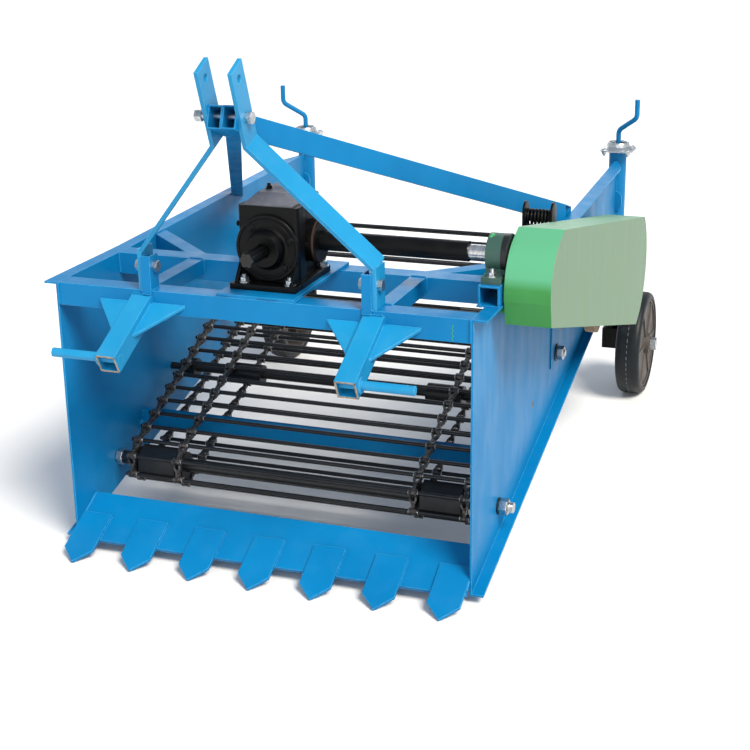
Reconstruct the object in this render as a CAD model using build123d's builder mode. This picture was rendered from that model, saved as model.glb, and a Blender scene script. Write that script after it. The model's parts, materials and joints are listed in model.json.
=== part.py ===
# Mounted potato digger: a toothed share lifts the row, a rod-link web riddles it,
# and two screw-jack wheels set the depth. Millimetres, +Z up, +Y to the rear,
# +X to the side of the chain cover. z = 0 is the floor under the teeth and wheels.
from build123d import *
from math import acos, atan2, cos, degrees, hypot, pi, radians, sin, sqrt, tan
import os

os.makedirs("parts", exist_ok=True)

# Side plates and the two top beams
inner_width = 1050.0       # clear width between the side plates
plate_thick = 5.0
plate_top = 700.0          # height of the plates' top edge at the front and of the beams' top
climb_left = 24.0          # rise of the left plate's top edge behind the rear beam
climb_right = 60.0
plate_foot = 20.0          # height of the plates' front lower corner
plate_rise = 14.6          # degrees by which the lower edge climbs to the rear
lip_width = 32.0           # outward fold along the top edge
lip_point = 95.0           # length over which the fold runs to a point at the jack tube
foot_flange = 29.0         # outward fold along the lower edge
beam_size = 56.0
beam_wall = 4.0
rear_beam_at = 305.0       # from the plates' front edge to the rear beam's front face
tie_size = 40.0
tie_at = 300.0             # sideways, centre of each short tie
diagonal_plate_at = 540.0  # where a diagonal meets the side plate, from the plates' front edge
diagonal_beam_at = 330.0   # where it meets the rear beam, sideways
tube_wall = 4.0

# Share and teeth
blade_slope = 26.6         # degrees
blade_thick = 10.0
blade_depth = 151.0        # along the slope
tooth_count = 7
tooth_edge = 1.5           # between an outer tooth and its side plate
tooth_width = 81.0
tooth_thick = 8.0
tooth_length = 161.0       # tip to rear end, along the slope
tooth_shoulder = 42.0      # tip to shoulder, along the slope
tooth_overhang = 82.0      # tip to the blade's front edge, along the slope
tip_ahead = 111.0          # tips ahead of the plates' front edge

# Lower hitch arms and their pins
arm_at = 295.0
arm_size = 50.0
arm_slope = 26.7
arm_reach = 181.0          # from the beam's face to the centre of the open end
arm_drop = 10.0            # arm's axis below the beam's middle, at the beam's face
gusset_spread = 88.0
gusset_reach = 112.0
gusset_thick = 8.0
pin_radius = 11.0
pin_back = 20.0            # pin axis behind the arm's open end, along the arm
pin_tip = 448.0            # sideways, end of the pin
pin_collar_radius = 19.0
pin_collar = 6.0
pin_fit = 0.2
pin_hole = 4.0
pin_hole_back = 14.0       # cross hole from the pin's tip

# Mast
bar_thick = 10.0
bar_width = 60.0
mast_lean = 20.3           # degrees, towards the tractor
mast_foot_at = 296.0       # sideways, centre of the bar at its foot
mast_foot_y = 31.0         # centre of the bar behind the plates' front edge
mast_low_bend = 800.0
mast_top = 1256.0          # middle of the slanting upper end
mast_bend_below = 171.0    # upper bend below it
mast_cut = 26.6            # degrees, slope of that end
mast_hole_below = 28.0     # top-link hole below it
mast_hole_radius = 9.7
brace_bolt_below = 115.0   # bolt of the long braces below it
brace_bolt_radius = 8.0
bolt_head_ratio = 1.4      # head's thickness for each mm of bolt radius
bolt_hexagon_ratio = 1.8   # head's corner radius, likewise
bolt_washer = 3.0
bolt_washer_radius = 12.0
bolt_bare = 14.0           # bare thread between washer and nut of the mast bolt
bolt_nut = 16.0
lug_height = 84.0
lug_depth = 38.0           # side walls, from the beam's front face
lug_width = 24.0
lug_wall = 4.0
lug_hang = 8.0             # front wall below the beam's top
lug_bolt_back = 19.0       # bolt behind the beam's front face
lug_bolt_height = 56.0
lug_bolt_radius = 8.0
brace_wide = 34.0
brace_tall = 52.0
brace_wall = 3.0
brace_apart = 1.0          # between the two tubes side by side in the mast
brace_drop = 8.0           # tube's axis below the mast bolt
brace_left_at = 1040.0     # where a brace meets a plate, from the plates' front edge
brace_right_at = 933.0
brace_left_over = 9.0      # its axis there above the plate's top edge
brace_right_over = 0.0
brace_ahead = 34.0         # open front end ahead of the mast bolt
brace_neck_length = 16.0   # straight run behind the mast before it turns outwards

# Gearbox and cross drive
bearing_rise = 53.0        # shafts' common plane above the bearing's support
gearbox_back = 195.0       # cross shaft behind the plates' front edge
gearbox_half = 60.0        # half width of the housing behind its front plate
gearbox_face_half = 77.0
gearbox_face_thick = 48.0
gearbox_front_wall = 105.0 # housing ahead of the cross shaft
gearbox_rear_wall = 72.0
mount_half_width = 98.0
mount_thick = 8.0
flange_thick = 14.0
flange_half_width = 84.0
housing_top = 98.0         # housing above the shafts
flange_margin = 10.0       # flange beyond the housing, front and rear
housing_corner = 10.0
front_cover_radius = 66.0
front_cover_thick = 8.0
front_boss = 45.0
front_boss_length = 26.0
front_boss_taper = 12.0
side_boss = 52.0
side_boss_length = 34.0    # on the side of the cross shaft
blind_boss_length = 16.0   # on the other side
blind_cap = 38.0
blind_cap_thick = 5.0
rib_thick = 8.0
lid_margin = 8.0           # lid inside the housing's front and rear edge
lid_height = 35.0
lid_taper = 40.0
spline_radius = 17.4
spline_root = 14.6
spline_count = 6
spline_length = 92.0
spline_tooth = 8.6
guard_radius = 24.0
shaft_radius = 17.5
shaft_fit = 0.2
shaft_end_room = 20.0      # from a shaft's end to the chain cover's outer sheet
guard_gap = 50.0           # bare shaft between guard and bearing
bearing_outside = 7.5      # bearing's middle outside the plate's middle
bearing_length = 160.0
bearing_width = 46.0
bearing_foot_room = 5.0    # between its round head and the support
bearing_base = 16.0
bearing_waist_ratio = 1.7  # body's width for each mm of its round head's radius
support_size = 50.0
support_length = 190.0

# Chain cover outside the right-hand plate, open below and towards the plate
cover_gap = 4.0            # between the plate's lip and the cover
cover_width = 109.0
cover_sheet = 2.0
cover_foot = (132.0, 655.0)        # corners of the outline: from the plates' front edge, height
cover_chin = (119.0, 712.0)
cover_nose = (134.0, 789.0)
cover_brow = (192.0, 840.0)
cover_front_top = (239.0, 859.0)
cover_rear_top = (1289.0, 654.0)
cover_rear_bulge = (1345.0, 500.0)
cover_rear_foot = (1214.0, 346.0)
cover_lap = 4.0            # how far the edge fold runs past the open side's corners
stay_radius = 8.0
stay_places = ((160.0, 680.0), (1290.0, 610.0))

# Chain drive in the cover, with the wheel that tightens it and the spring beside it
chain_outside = 85.0       # chain's middle outside the plate
chain_width = 12.0
chain_half_depth = 5.0
upper_sprocket = 26.0
lower_sprocket = 90.0
chain_steps = 10           # straight links round each sprocket
tension_back = 880.0
tension_radius = 55.0
tension_width = 30.0
tension_pin = 10.0
tension_collar = 16.0
tension_pin_end = 6.0
spring_back = 600.0
spring_depth = 50.0
spring_inside = 38.0       # inner upright inside the plate
spring_upright = 6.0
spring_height = 126.0      # uprights above the plate's top edge
spring_base = 6.0
spring_axis = 84.0         # spring's axis above the plate's top edge
spring_radius = 24.0
spring_core = 10.0
spring_coils = 6
spring_wire = 5.0

# Rod-link web, its idler at the front and its drive shaft at the rear
idler_back = 227.0
idler_height = 156.0
idler_teeth = 6            # rods round the idler
drive_back = 1180.0
drive_shaft_height = 528.0
drive_teeth = 8
link_outer = 5.0           # strand outside the rods' centre line
link_inner = 11.0          # and inside it
link_width = 12.0
chain_inside = 67.0        # outer strands inside the plates
chain_apart = 133.0        # from an outer strand to the inner one beside it
rod_radius = 5.5
rod_pitch = 54.0
rod_overhang = 14.0
rod_sides = 8
rod_seat = 0.2             # between a rod and the notch that it lies in
idler_shaft_radius = 12.0
idler_tube = 18.0
drum_gap = 14.0
drum_corner = 150.0        # degrees, where a rod lies on a corner of the drums
idler_nut = 36.0           # across flats
idler_lock = 19.0          # nut inside the plate
idler_washer = 4.0
idler_washer_radius = 21.0
idler_nut_thick = 22.0
idler_thread = 14.0        # shaft end standing out of the nut
drive_shaft_radius = 17.5
drive_stub = 20.0          # shaft end outside the left-hand plate
disc_width = 10.0
tooth_wheel_thick = 8.0
tooth_wheel_gap = 0.5      # beside a strand
tooth_rise = 5.2           # teeth beyond the rods' centre line
chain_clear = 0.3
roller_radius = 28.0
roller_width = 30.0        # under an outer strand
roller_long = 100.0        # under an inner strand, from its outer side inwards
roller_outside = 16.0
roller_shaft_radius = 10.0
roller_backs = (560.0, 860.0)
crossbar_back = 385.0
crossbar_thick = 30.0
crossbar_tall = 46.0
crossbar_height = 190.0

# Screw jacks and wheels
jack_back = 1602.0
jack_radius = 27.0
jack_bore = 22.5
jack_foot = 420.0
jack_top = 788.0
leg_clear = 0.5
leg_top = 560.0
flange_size = 104.0
flange_plate = 12.0
flange_dome = 6.0          # part of its thickness that is rounded off
flange_dome_taper = 45.0
flange_boss_radius = 31.0
flange_boss = 14.0
flange_boss_taper = 20.0
flange_corner = 22.0
crank_radius = 7.5
crank_rise = 36.0
crank_step_out = 62.0
crank_step_ahead = 39.0
crank_step_up = 46.0
crank_grip = 56.0
crank_bend = 22.0
screw_reach = 60.0         # screw below the flange
wheel_radius = 165.0
wheel_width = 76.0
wheel_gap = 44.5           # from the plate's middle to the tyre
axle_radius = 12.5
axle_fit = 0.5
hub_radius = 32.0
hub_reach = 8.0
rim_radius = 142.0         # seat of the rubber ring
rim_wall = 8.0
rim_inset = 3.0            # rim inside the tyre's side faces
disc_thick = 10.0
disc_recess = 8.0          # disc inside the tyre's outer side
spoke_count = 6
spoke_thick = 9.0
spoke_depth = 40.0
axle_cap_thick = 18.0
axle_cap_radius = 20.0
axle_lug = 44.0
block_wide = 48.0          # axle block at the leg's foot
block_deep = 52.0
block_tall = 66.0
block_rise = 13.0          # its middle above the axle
hub_room = 1.0             # between a hub's end and what stands beside it

# Places worked out from the sizes above
plate_in = inner_width / 2
plate_out = plate_in + plate_thick
plate_mid = plate_in + plate_thick / 2
tooth_pitch = (inner_width - tooth_width - 2 * tooth_edge) / (tooth_count - 1)
mast_high_bend = mast_top - mast_bend_below
mast_hole_height = mast_top - mast_hole_below
brace_bolt_height = mast_top - brace_bolt_below
arm_tip_ahead = arm_reach + arm_size / 2 * sin(radians(arm_slope))
whole_length = arm_tip_ahead + jack_back + wheel_radius
front = arm_tip_ahead - whole_length / 2     # y of the plates' front edge
plate_rear = jack_back - jack_radius
climb_from = rear_beam_at + beam_size
beam_mid = plate_top - beam_size / 2
arm_root_height = beam_mid - arm_drop
idler_y = front + idler_back
drive_y = front + drive_back
jack_y = front + jack_back
mast_gap = 2 * brace_wide + brace_apart       # clear width between the mast plates
mast_plate_at = mast_gap / 2 + bar_thick / 2
drive_height = plate_top + support_size + bearing_rise
bearing_radius = bearing_rise - bearing_foot_room
bearing_at = plate_mid + bearing_outside
guard_end = bearing_at - bearing_width / 2 - guard_gap
cover_inner = plate_out + lip_width + cover_gap
cover_outer = cover_inner + cover_width
chain_line = plate_out + chain_outside
spring_near = plate_in - spring_inside
chain_outer_at = plate_in - chain_inside
chain_inner_at = chain_outer_at - chain_apart
wheel_inner_at = plate_mid + wheel_gap
idler_pitch_radius = idler_teeth * rod_pitch / (2 * pi)
drive_pitch_radius = drive_teeth * rod_pitch / (2 * pi)
wheel_outer = wheel_inner_at + wheel_width
axle_cap = wheel_outer + hub_reach + hub_room + axle_cap_thick


def foot_height(back):
    return plate_foot + back * tan(radians(plate_rise))


def top_height(back, climb):
    """Height of a side plate's top edge, which climbs behind the rear beam."""
    return plate_top + climb * max(0, back - climb_from) / (plate_rear - climb_from)


def mast_y(height):
    rise = height - mast_low_bend
    return front + mast_foot_y - rise * tan(radians(mast_lean))


def write(piece, label):
    piece.part.label = label
    export_step(piece.part, "parts/" + label + ".step")


# Side plates: folded sheet, top lip and lower flange turned outwards
def side_plate(side, climb, label):
    rear_foot = foot_height(plate_rear)
    rear_top = plate_top + climb
    with BuildPart() as plate:
        with BuildSketch(Plane.YZ.offset(side * plate_in)):
            with BuildLine():
                Polyline(
                    (front, plate_foot),
                    (front + plate_rear, rear_foot),
                    (front + plate_rear, rear_top),
                    (front + climb_from, plate_top),
                    (front, plate_top),
                    close=True,
                )
            make_face()
        extrude(amount=side * plate_thick)
        with BuildSketch(Plane.YZ.offset(side * plate_out)):
            with BuildLine():
                Polyline(
                    (front, plate_top),
                    (front + climb_from, plate_top),
                    (front + plate_rear, rear_top),
                    (front + plate_rear, rear_top - plate_thick),
                    (front + climb_from, plate_top - plate_thick),
                    (front, plate_top - plate_thick),
                    close=True,
                )
            make_face()
        extrude(amount=side * lip_width)
        with BuildSketch(Plane.XY.offset(plate_top)):
            with BuildLine():
                Polyline(
                    (side * plate_out, front + plate_rear),
                    (side * (plate_out + lip_width), front + plate_rear),
                    (side * (plate_out + lip_width), front + plate_rear - lip_point),
                    close=True,
                )
            make_face()
        extrude(amount=climb + plate_thick, mode=Mode.SUBTRACT)
        with BuildSketch(Plane.YZ.offset(side * plate_out)):
            with BuildLine():
                Polyline(
                    (front, plate_foot),
                    (front + plate_rear, rear_foot),
                    (front + plate_rear, rear_foot + plate_thick),
                    (front, plate_foot + plate_thick),
                    close=True,
                )
            make_face()
        extrude(amount=side * foot_flange)
        with Locations(Location((side * plate_mid, idler_y, idler_height), (0, 90, 0))):
            Cylinder(idler_shaft_radius + shaft_fit, 4 * plate_thick, mode=Mode.SUBTRACT)
        with Locations(Location((side * plate_mid, drive_y, drive_shaft_height), (0, 90, 0))):
            Cylinder(drive_shaft_radius + shaft_fit, 4 * plate_thick, mode=Mode.SUBTRACT)
        for back in roller_backs:
            with Locations(Location((side * plate_mid, front + back, roller_height(back)), (0, 90, 0))):
                Cylinder(roller_shaft_radius + shaft_fit, 4 * plate_thick, mode=Mode.SUBTRACT)
    write(plate, label)


# The web's centre line: two circles joined by their outer tangents
axle_dy = drive_back - idler_back
axle_dz = drive_shaft_height - idler_height
axle_gap = sqrt(axle_dy**2 + axle_dz**2)
web_angle = atan2(axle_dz, axle_dy)
wrap = acos((idler_pitch_radius - drive_pitch_radius) / axle_gap)


web_span = sqrt(axle_gap**2 - (drive_pitch_radius - idler_pitch_radius) ** 2)
rear_arc = 2 * wrap * drive_pitch_radius
front_arc = (2 * pi - 2 * wrap) * idler_pitch_radius
loop_length = 2 * web_span + rear_arc + front_arc
rod_count = round(loop_length / rod_pitch)
rod_step = loop_length / rod_count


def loop_place(distance):
    """Share of the way from idler to drive shaft, and the direction outwards, on the loop."""
    distance = distance % loop_length
    up = web_angle + wrap
    down = web_angle - wrap
    if distance < web_span:
        return distance / web_span, up
    if distance < web_span + rear_arc:
        return 1, up - (distance - web_span) / drive_pitch_radius
    if distance < 2 * web_span + rear_arc:
        return 1 - (distance - web_span - rear_arc) / web_span, down
    return 0, down - (distance - 2 * web_span - rear_arc) / idler_pitch_radius


def loop_point(distance, outward, ahead=0):
    """Point (y, z) beside the loop: outwards and ahead of a place on the rods' centre line."""
    share, turn = loop_place(distance)
    radius = idler_pitch_radius + share * (drive_pitch_radius - idler_pitch_radius) + outward
    y = idler_y + share * axle_dy + radius * cos(turn) + ahead * sin(turn)
    z = idler_height + share * axle_dz + radius * sin(turn) - ahead * cos(turn)
    return y, z


def rod_along(number):
    """Distance of a rod along the loop; one of them lies on a corner of the idler's drums."""
    return number * rod_step + (web_angle + wrap - radians(drum_corner)) * idler_pitch_radius


def roller_height(back):
    """Height of a carrying roller's axis, so that the upper run rests on it."""
    share = (back - idler_back) / axle_dy
    pitch_radius = idler_pitch_radius + share * (drive_pitch_radius - idler_pitch_radius)
    below = roller_radius + link_inner + chain_clear
    return idler_height + share * axle_dz + (pitch_radius - below) / sin(web_angle + wrap)


side_plate(-1, climb_left, "side_plate_left")
side_plate(1, climb_right, "side_plate_right")


# Front and rear beams: square tubes welded between the plates
def beam(back, label):
    with BuildPart() as tube:
        with BuildSketch(Plane.YZ.offset(-plate_in)):
            with Locations((front + back + beam_size / 2, beam_mid)):
                Rectangle(beam_size, beam_size)
                Rectangle(beam_size - 2 * beam_wall, beam_size - 2 * beam_wall, mode=Mode.SUBTRACT)
        extrude(amount=inner_width)
    write(tube, label)


beam(0, "front_beam")
beam(rear_beam_at, "rear_beam")

# Short ties between the beams, and diagonals from the rear beam to the plates
with BuildPart() as ties:
    with BuildSketch(Plane.XZ.offset(-(front + beam_size))):
        with Locations((-tie_at, plate_top - tie_size / 2), (tie_at, plate_top - tie_size / 2)):
            Rectangle(tie_size, tie_size)
            Rectangle(tie_size - 2 * tube_wall, tie_size - 2 * tube_wall, mode=Mode.SUBTRACT)
    extrude(amount=-(rear_beam_at - beam_size))
write(ties, "short_ties")

diagonal_root = rear_beam_at + beam_size
diagonal_run = (plate_in - diagonal_beam_at, diagonal_plate_at - diagonal_root)
diagonal_half = tie_size / 2 / sin(atan2(diagonal_run[1], diagonal_run[0]))
diagonal_side = tie_size / 2 / cos(atan2(diagonal_run[1], diagonal_run[0]))
with BuildPart() as diagonals:
    with BuildSketch(Plane.XY.offset(plate_top - tie_size)):
        for side in (-1, 1):
            with BuildLine():
                Polyline(
                    (side * (diagonal_beam_at - diagonal_half), front + diagonal_root),
                    (side * (diagonal_beam_at + diagonal_half), front + diagonal_root),
                    (side * plate_in, front + diagonal_plate_at - diagonal_side),
                    (side * plate_in, front + diagonal_plate_at + diagonal_side),
                    close=True,
                )
            make_face()
    extrude(amount=tie_size)
write(diagonals, "diagonal_braces")

# Plate between the beams that carries the gearbox
with BuildPart() as mount:
    with BuildSketch(Plane.XY.offset(plate_top)):
        with Locations((0, front + (rear_beam_at + beam_size) / 2)):
            Rectangle(2 * mount_half_width, rear_beam_at + beam_size)
    extrude(amount=mount_thick)
write(mount, "gearbox_mount")

# Digging share: a sloping plate with pointed teeth welded on top
slope = radians(blade_slope)
share_plane = Plane(
    origin=(0, front - tip_ahead + (blade_thick + tooth_thick) * sin(slope), 0),
    x_dir=(1, 0, 0),
    z_dir=(0, -sin(slope), cos(slope)),
)
with BuildPart() as share:
    with BuildSketch(share_plane):
        with Locations((0, tooth_overhang + blade_depth / 2)):
            Rectangle(inner_width, blade_depth)
    extrude(amount=blade_thick)
    with BuildSketch(share_plane.offset(blade_thick)):
        for number in range(tooth_count):
            middle = (number - (tooth_count - 1) / 2) * tooth_pitch
            with BuildLine():
                Polyline(
                    (middle, 0),
                    (middle + tooth_width / 2, tooth_shoulder),
                    (middle + tooth_width / 2, tooth_length),
                    (middle - tooth_width / 2, tooth_length),
                    (middle - tooth_width / 2, tooth_shoulder),
                    close=True,
                )
            make_face()
    extrude(amount=tooth_thick)
lift = -share.part.bounding_box().min.Z
share.part = share.part.moved(Location((0, 0, lift)))
write(share, "digging_share")

# Lower hitch arms: open square tubes with a gusset on each side
tilt = radians(arm_slope)
arm_down = (0, -cos(tilt), -sin(tilt))
arm_up = (0, -sin(tilt), cos(tilt))
arm_length = arm_reach / cos(tilt)
pin_run = arm_length - pin_back
pin_y = front - pin_run * cos(tilt)
pin_z = arm_root_height - pin_run * sin(tilt)


def lower_arm(side, label):
    centre = side * arm_at
    root = Plane(
        origin=(centre, front + beam_size * cos(tilt), arm_root_height + beam_size * sin(tilt)),
        x_dir=(1, 0, 0),
        z_dir=arm_down,
    )
    sheet = Plane(origin=(centre, front, arm_root_height), x_dir=(1, 0, 0), z_dir=arm_up)
    with BuildPart() as arm:
        with BuildSketch(root):
            Rectangle(arm_size, arm_size)
            Rectangle(arm_size - 2 * tube_wall, arm_size - 2 * tube_wall, mode=Mode.SUBTRACT)
        extrude(amount=arm_length + beam_size)
        with BuildSketch(sheet):
            for half in (-1, 1):
                inner = half * arm_size / 2
                outer = half * (arm_size / 2 + gusset_spread)
                with BuildLine():
                    Polyline(
                        (inner, gusset_thick),
                        (outer, gusset_thick),
                        (outer, 0),
                        (inner, -gusset_reach),
                        close=True,
                    )
                make_face()
        extrude(amount=gusset_thick)
        face = Plane(origin=(centre, front, arm_root_height), z_dir=(0, -1, 0))
        split(bisect_by=face, keep=Keep.TOP)
        with Locations(Location((centre, pin_y, pin_z), (0, 90, 0))):
            Cylinder(pin_radius + pin_fit, 2 * arm_size, mode=Mode.SUBTRACT)
    write(arm, label)


def hitch_pin(side, label):
    inner = arm_at - arm_size / 2
    with BuildPart() as pin:
        with BuildSketch(Plane.YZ.offset(side * inner)):
            with Locations((pin_y, pin_z)):
                Circle(pin_radius)
        extrude(amount=side * (pin_tip - inner))
        with BuildSketch(Plane.YZ.offset(side * (arm_at + arm_size / 2))):
            with Locations((pin_y, pin_z)):
                Circle(pin_collar_radius)
        extrude(amount=side * pin_collar)
        with Locations((side * (pin_tip - pin_hole_back), pin_y, pin_z)):
            Cylinder(pin_hole, 4 * pin_radius, mode=Mode.SUBTRACT)
    write(pin, label)


lower_arm(-1, "lower_arm_left")
lower_arm(1, "lower_arm_right")
hitch_pin(-1, "hitch_pin_left")
hitch_pin(1, "hitch_pin_right")

# Mast: two flat bars, upright at the foot, then leaning forwards and drawn together
lug_bolt_y = front + lug_bolt_back
lug_bolt_z = plate_top + lug_bolt_height
lean = radians(mast_lean)
lean_plane = Plane(
    origin=(0, mast_y(mast_low_bend), mast_low_bend),
    x_dir=(1, 0, 0),
    z_dir=(0, -cos(lean), -sin(lean)),
)


def up_the_lean(height):
    return (height - mast_low_bend) / cos(lean)


def mast_leg(side, label):
    high = up_the_lean(mast_high_bend)
    top = up_the_lean(mast_top) + bar_width
    top_slope = radians(mast_cut)
    top_face = Plane(origin=(0, mast_y(mast_top), mast_top), z_dir=(0, -sin(top_slope), cos(top_slope)))
    with BuildPart() as leg:
        with BuildSketch(lean_plane):
            with BuildLine():
                Polyline(
                    (side * mast_foot_at, 0),
                    (side * mast_plate_at, high),
                    (side * mast_plate_at, top),
                )
                offset(amount=bar_thick / 2, kind=Kind.INTERSECTION, side=Side.BOTH)
            make_face()
        extrude(amount=bar_width / 2, both=True)
        split(bisect_by=top_face, keep=Keep.BOTTOM)
        with Locations((side * mast_foot_at, front + mast_foot_y, (plate_top + mast_low_bend) / 2)):
            Box(bar_thick, bar_width, mast_low_bend - plate_top)
        for height, radius in (
            (mast_hole_height, mast_hole_radius),
            (brace_bolt_height, brace_bolt_radius + shaft_fit),
        ):
            with Locations(Location((side * mast_plate_at, mast_y(height), height), (0, 90, 0))):
                Cylinder(radius, 4 * bar_thick, mode=Mode.SUBTRACT)
        with Locations(Location((side * mast_foot_at, lug_bolt_y, lug_bolt_z), (0, 90, 0))):
            Cylinder(lug_bolt_radius + shaft_fit, 4 * bar_thick, mode=Mode.SUBTRACT)
    write(leg, label)


mast_leg(-1, "mast_leg_left")
mast_leg(1, "mast_leg_right")

# Lugs on the front beam: upright channels that the mast's feet bolt to
with BuildPart() as lugs:
    for side in (-1, 1):
        middle = side * (mast_foot_at - bar_thick / 2 - lug_width / 2)
        with BuildSketch(Plane.XY.offset(plate_top)):
            with Locations((middle, front + (lug_depth - lug_wall) / 2)):
                Rectangle(lug_width, lug_depth + lug_wall)
            with Locations((middle, front + lug_depth / 2)):
                Rectangle(lug_width - 2 * lug_wall, lug_depth, mode=Mode.SUBTRACT)
        extrude(amount=lug_height)
        with BuildSketch(Plane.XY.offset(plate_top - lug_hang)):
            with Locations((middle, front - lug_wall / 2)):
                Rectangle(lug_width, lug_wall)
        extrude(amount=lug_hang)
        with Locations(Location((middle, lug_bolt_y, lug_bolt_z), (0, 90, 0))):
            Cylinder(lug_bolt_radius + shaft_fit, 2 * lug_width, mode=Mode.SUBTRACT)
write(lugs, "mast_lugs")

lug_inner_at = mast_foot_at - bar_thick / 2 - lug_width


def through_bolts(rows, radius, label):
    """Bolts along X with a hexagon at each end, one for each row of start, end, y and z."""
    head = bolt_head_ratio * radius
    with BuildPart() as bolts:
        for start, end, y, z in rows:
            with BuildSketch(Plane.YZ.offset(start)):
                with Locations((y, z)):
                    Circle(radius)
            extrude(amount=end - start)
            for at, way in ((start, -1), (end, 1)):
                with BuildSketch(Plane.YZ.offset(at)):
                    with Locations((y, z)):
                        RegularPolygon(bolt_hexagon_ratio * radius, 6)
                extrude(amount=way * head)
    write(bolts, label)


mast_foot_outer = mast_foot_at + bar_thick / 2
through_bolts(
    (
        (-mast_foot_outer, -lug_inner_at, lug_bolt_y, lug_bolt_z),
        (lug_inner_at, mast_foot_outer, lug_bolt_y, lug_bolt_z),
    ),
    lug_bolt_radius,
    "lug_bolts",
)
mast_outer = mast_gap / 2 + bar_thick
head_from = mast_outer + bolt_washer
nut_from = -mast_outer - bolt_washer - bolt_bare - bolt_nut
hexagon = bolt_hexagon_ratio * brace_bolt_radius
with BuildPart() as mast_bolt:
    for start, end, radius, sides in (
        (nut_from, head_from, brace_bolt_radius, 0),
        (nut_from, nut_from + bolt_nut, hexagon, 6),
        (-head_from, -mast_outer, bolt_washer_radius, 0),
        (mast_outer, head_from, bolt_washer_radius, 0),
        (head_from, head_from + bolt_head_ratio * brace_bolt_radius, hexagon, 6),
    ):
        with BuildSketch(Plane.YZ.offset(start)):
            with Locations((mast_y(brace_bolt_height), brace_bolt_height)):
                if sides:
                    RegularPolygon(radius, sides)
                else:
                    Circle(radius)
        extrude(amount=end - start)
write(mast_bolt, "mast_bolt")


# Long braces: rectangular tubes from the mast down and out to the plates' inner faces
def long_brace(side, back, height, label):
    start = (side * (brace_apart + brace_wide) / 2, mast_y(brace_bolt_height), brace_bolt_height - brace_drop)
    neck = bar_width / 2 / cos(lean) + brace_tall / 2 * tan(lean) + brace_neck_length
    fall = (height - start[2]) / (front + back - start[1])
    turn = (start[0], start[1] + neck, start[2] + neck * fall)
    run = (side * plate_in - turn[0], front + back - turn[1], height - turn[2])
    reach = sqrt(run[0] ** 2 + run[1] ** 2 + run[2] ** 2)
    flat = sqrt(run[0] ** 2 + run[1] ** 2)
    across = (run[1] / flat, -run[0] / flat, 0)
    straight = sqrt(1 + fall**2)
    front_end = Plane(
        origin=(start[0], start[1] - brace_ahead, start[2] - brace_ahead * fall),
        x_dir=(1, 0, 0),
        z_dir=(0, 1 / straight, fall / straight),
    )
    slant = Plane(origin=turn, x_dir=across, z_dir=run)
    with BuildPart() as tube:
        for cut, mode in ((0, Mode.ADD), (2 * brace_wall, Mode.SUBTRACT)):
            with BuildSketch(front_end):
                Rectangle(brace_wide - cut, brace_tall - cut)
            extrude(amount=(brace_ahead + neck) * straight, mode=mode)
            with BuildSketch(slant):
                Rectangle(brace_wide - cut, brace_tall - cut)
            extrude(amount=reach + brace_wide, mode=mode)
        with Locations(Location((start[0], start[1], brace_bolt_height), (0, 90, 0))):
            Cylinder(brace_bolt_radius + shaft_fit, 2 * brace_wide, mode=Mode.SUBTRACT)
        split(bisect_by=Plane(origin=(side * plate_in, 0, 0), z_dir=(side, 0, 0)), keep=Keep.BOTTOM)
        middle = Plane(origin=(side * brace_apart / 2, 0, 0), z_dir=(side, 0, 0))
        split(bisect_by=middle, keep=Keep.TOP)
    write(tube, label)


brace_left_height = top_height(brace_left_at, climb_left) + brace_left_over
brace_right_height = top_height(brace_right_at, climb_right) + brace_right_over
long_brace(-1, brace_left_at, brace_left_height, "long_brace_left")
long_brace(1, brace_right_at, brace_right_height, "long_brace_right")

# Gearbox: cast housing with a round front cover, a foot flange and a side boss
drive_line_y = front + gearbox_back
housing_floor = plate_top + mount_thick
flange_top = housing_floor + flange_thick
housing_mid_y = drive_line_y + (gearbox_rear_wall - gearbox_front_wall) / 2
housing_depth = gearbox_front_wall + gearbox_rear_wall
housing_face = drive_line_y - gearbox_front_wall
with BuildPart() as gearbox:
    with BuildSketch(Plane.XY.offset(housing_floor)):
        with Locations((0, housing_mid_y)):
            RectangleRounded(2 * flange_half_width, housing_depth + 2 * flange_margin, housing_corner)
    extrude(amount=flange_thick)
    with BuildSketch(Plane.XY.offset(flange_top)):
        with Locations((0, housing_mid_y)):
            RectangleRounded(2 * gearbox_half, housing_depth, housing_corner)
        with Locations((0, housing_face + gearbox_face_thick / 2)):
            RectangleRounded(2 * gearbox_face_half, gearbox_face_thick, housing_corner)
    extrude(amount=drive_height + housing_top - flange_top)
    with BuildSketch(Plane.XY.offset(drive_height)):
        with Locations((0, housing_mid_y)):
            Rectangle(2 * gearbox_face_half, housing_depth - 2 * housing_corner)
    extrude(amount=rib_thick / 2, both=True)
    with BuildSketch(Plane.XZ.offset(-housing_face)):
        with Locations((0, drive_height)):
            Circle(front_cover_radius)
    extrude(amount=front_cover_thick)
    with BuildSketch(Plane.XZ.offset(-housing_face + front_cover_thick)):
        with Locations((0, drive_height)):
            Circle(front_boss)
    extrude(amount=front_boss_length, taper=front_boss_taper)
    with BuildSketch(Plane.YZ.offset(gearbox_half)):
        with Locations((drive_line_y, drive_height)):
            Circle(side_boss)
    extrude(amount=side_boss_length)
    for at, radius, length in (
        (gearbox_half, side_boss, blind_boss_length),
        (gearbox_half + blind_boss_length, blind_cap, blind_cap_thick),
    ):
        with BuildSketch(Plane.YZ.offset(-at)):
            with Locations((drive_line_y, drive_height)):
                Circle(radius)
        extrude(amount=-length)
    with BuildSketch(Plane.YZ.offset(gearbox_half)):
        with Locations((drive_line_y, drive_height)):
            Circle(shaft_radius + shaft_fit)
    extrude(amount=side_boss_length, mode=Mode.SUBTRACT)
    with BuildSketch(Plane.XZ.offset(-housing_face + front_cover_thick + front_boss_length)):
        with Locations((0, drive_height)):
            Circle(spline_radius + shaft_fit)
    extrude(amount=-front_boss_length, mode=Mode.SUBTRACT)
write(gearbox, "gearbox")

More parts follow.
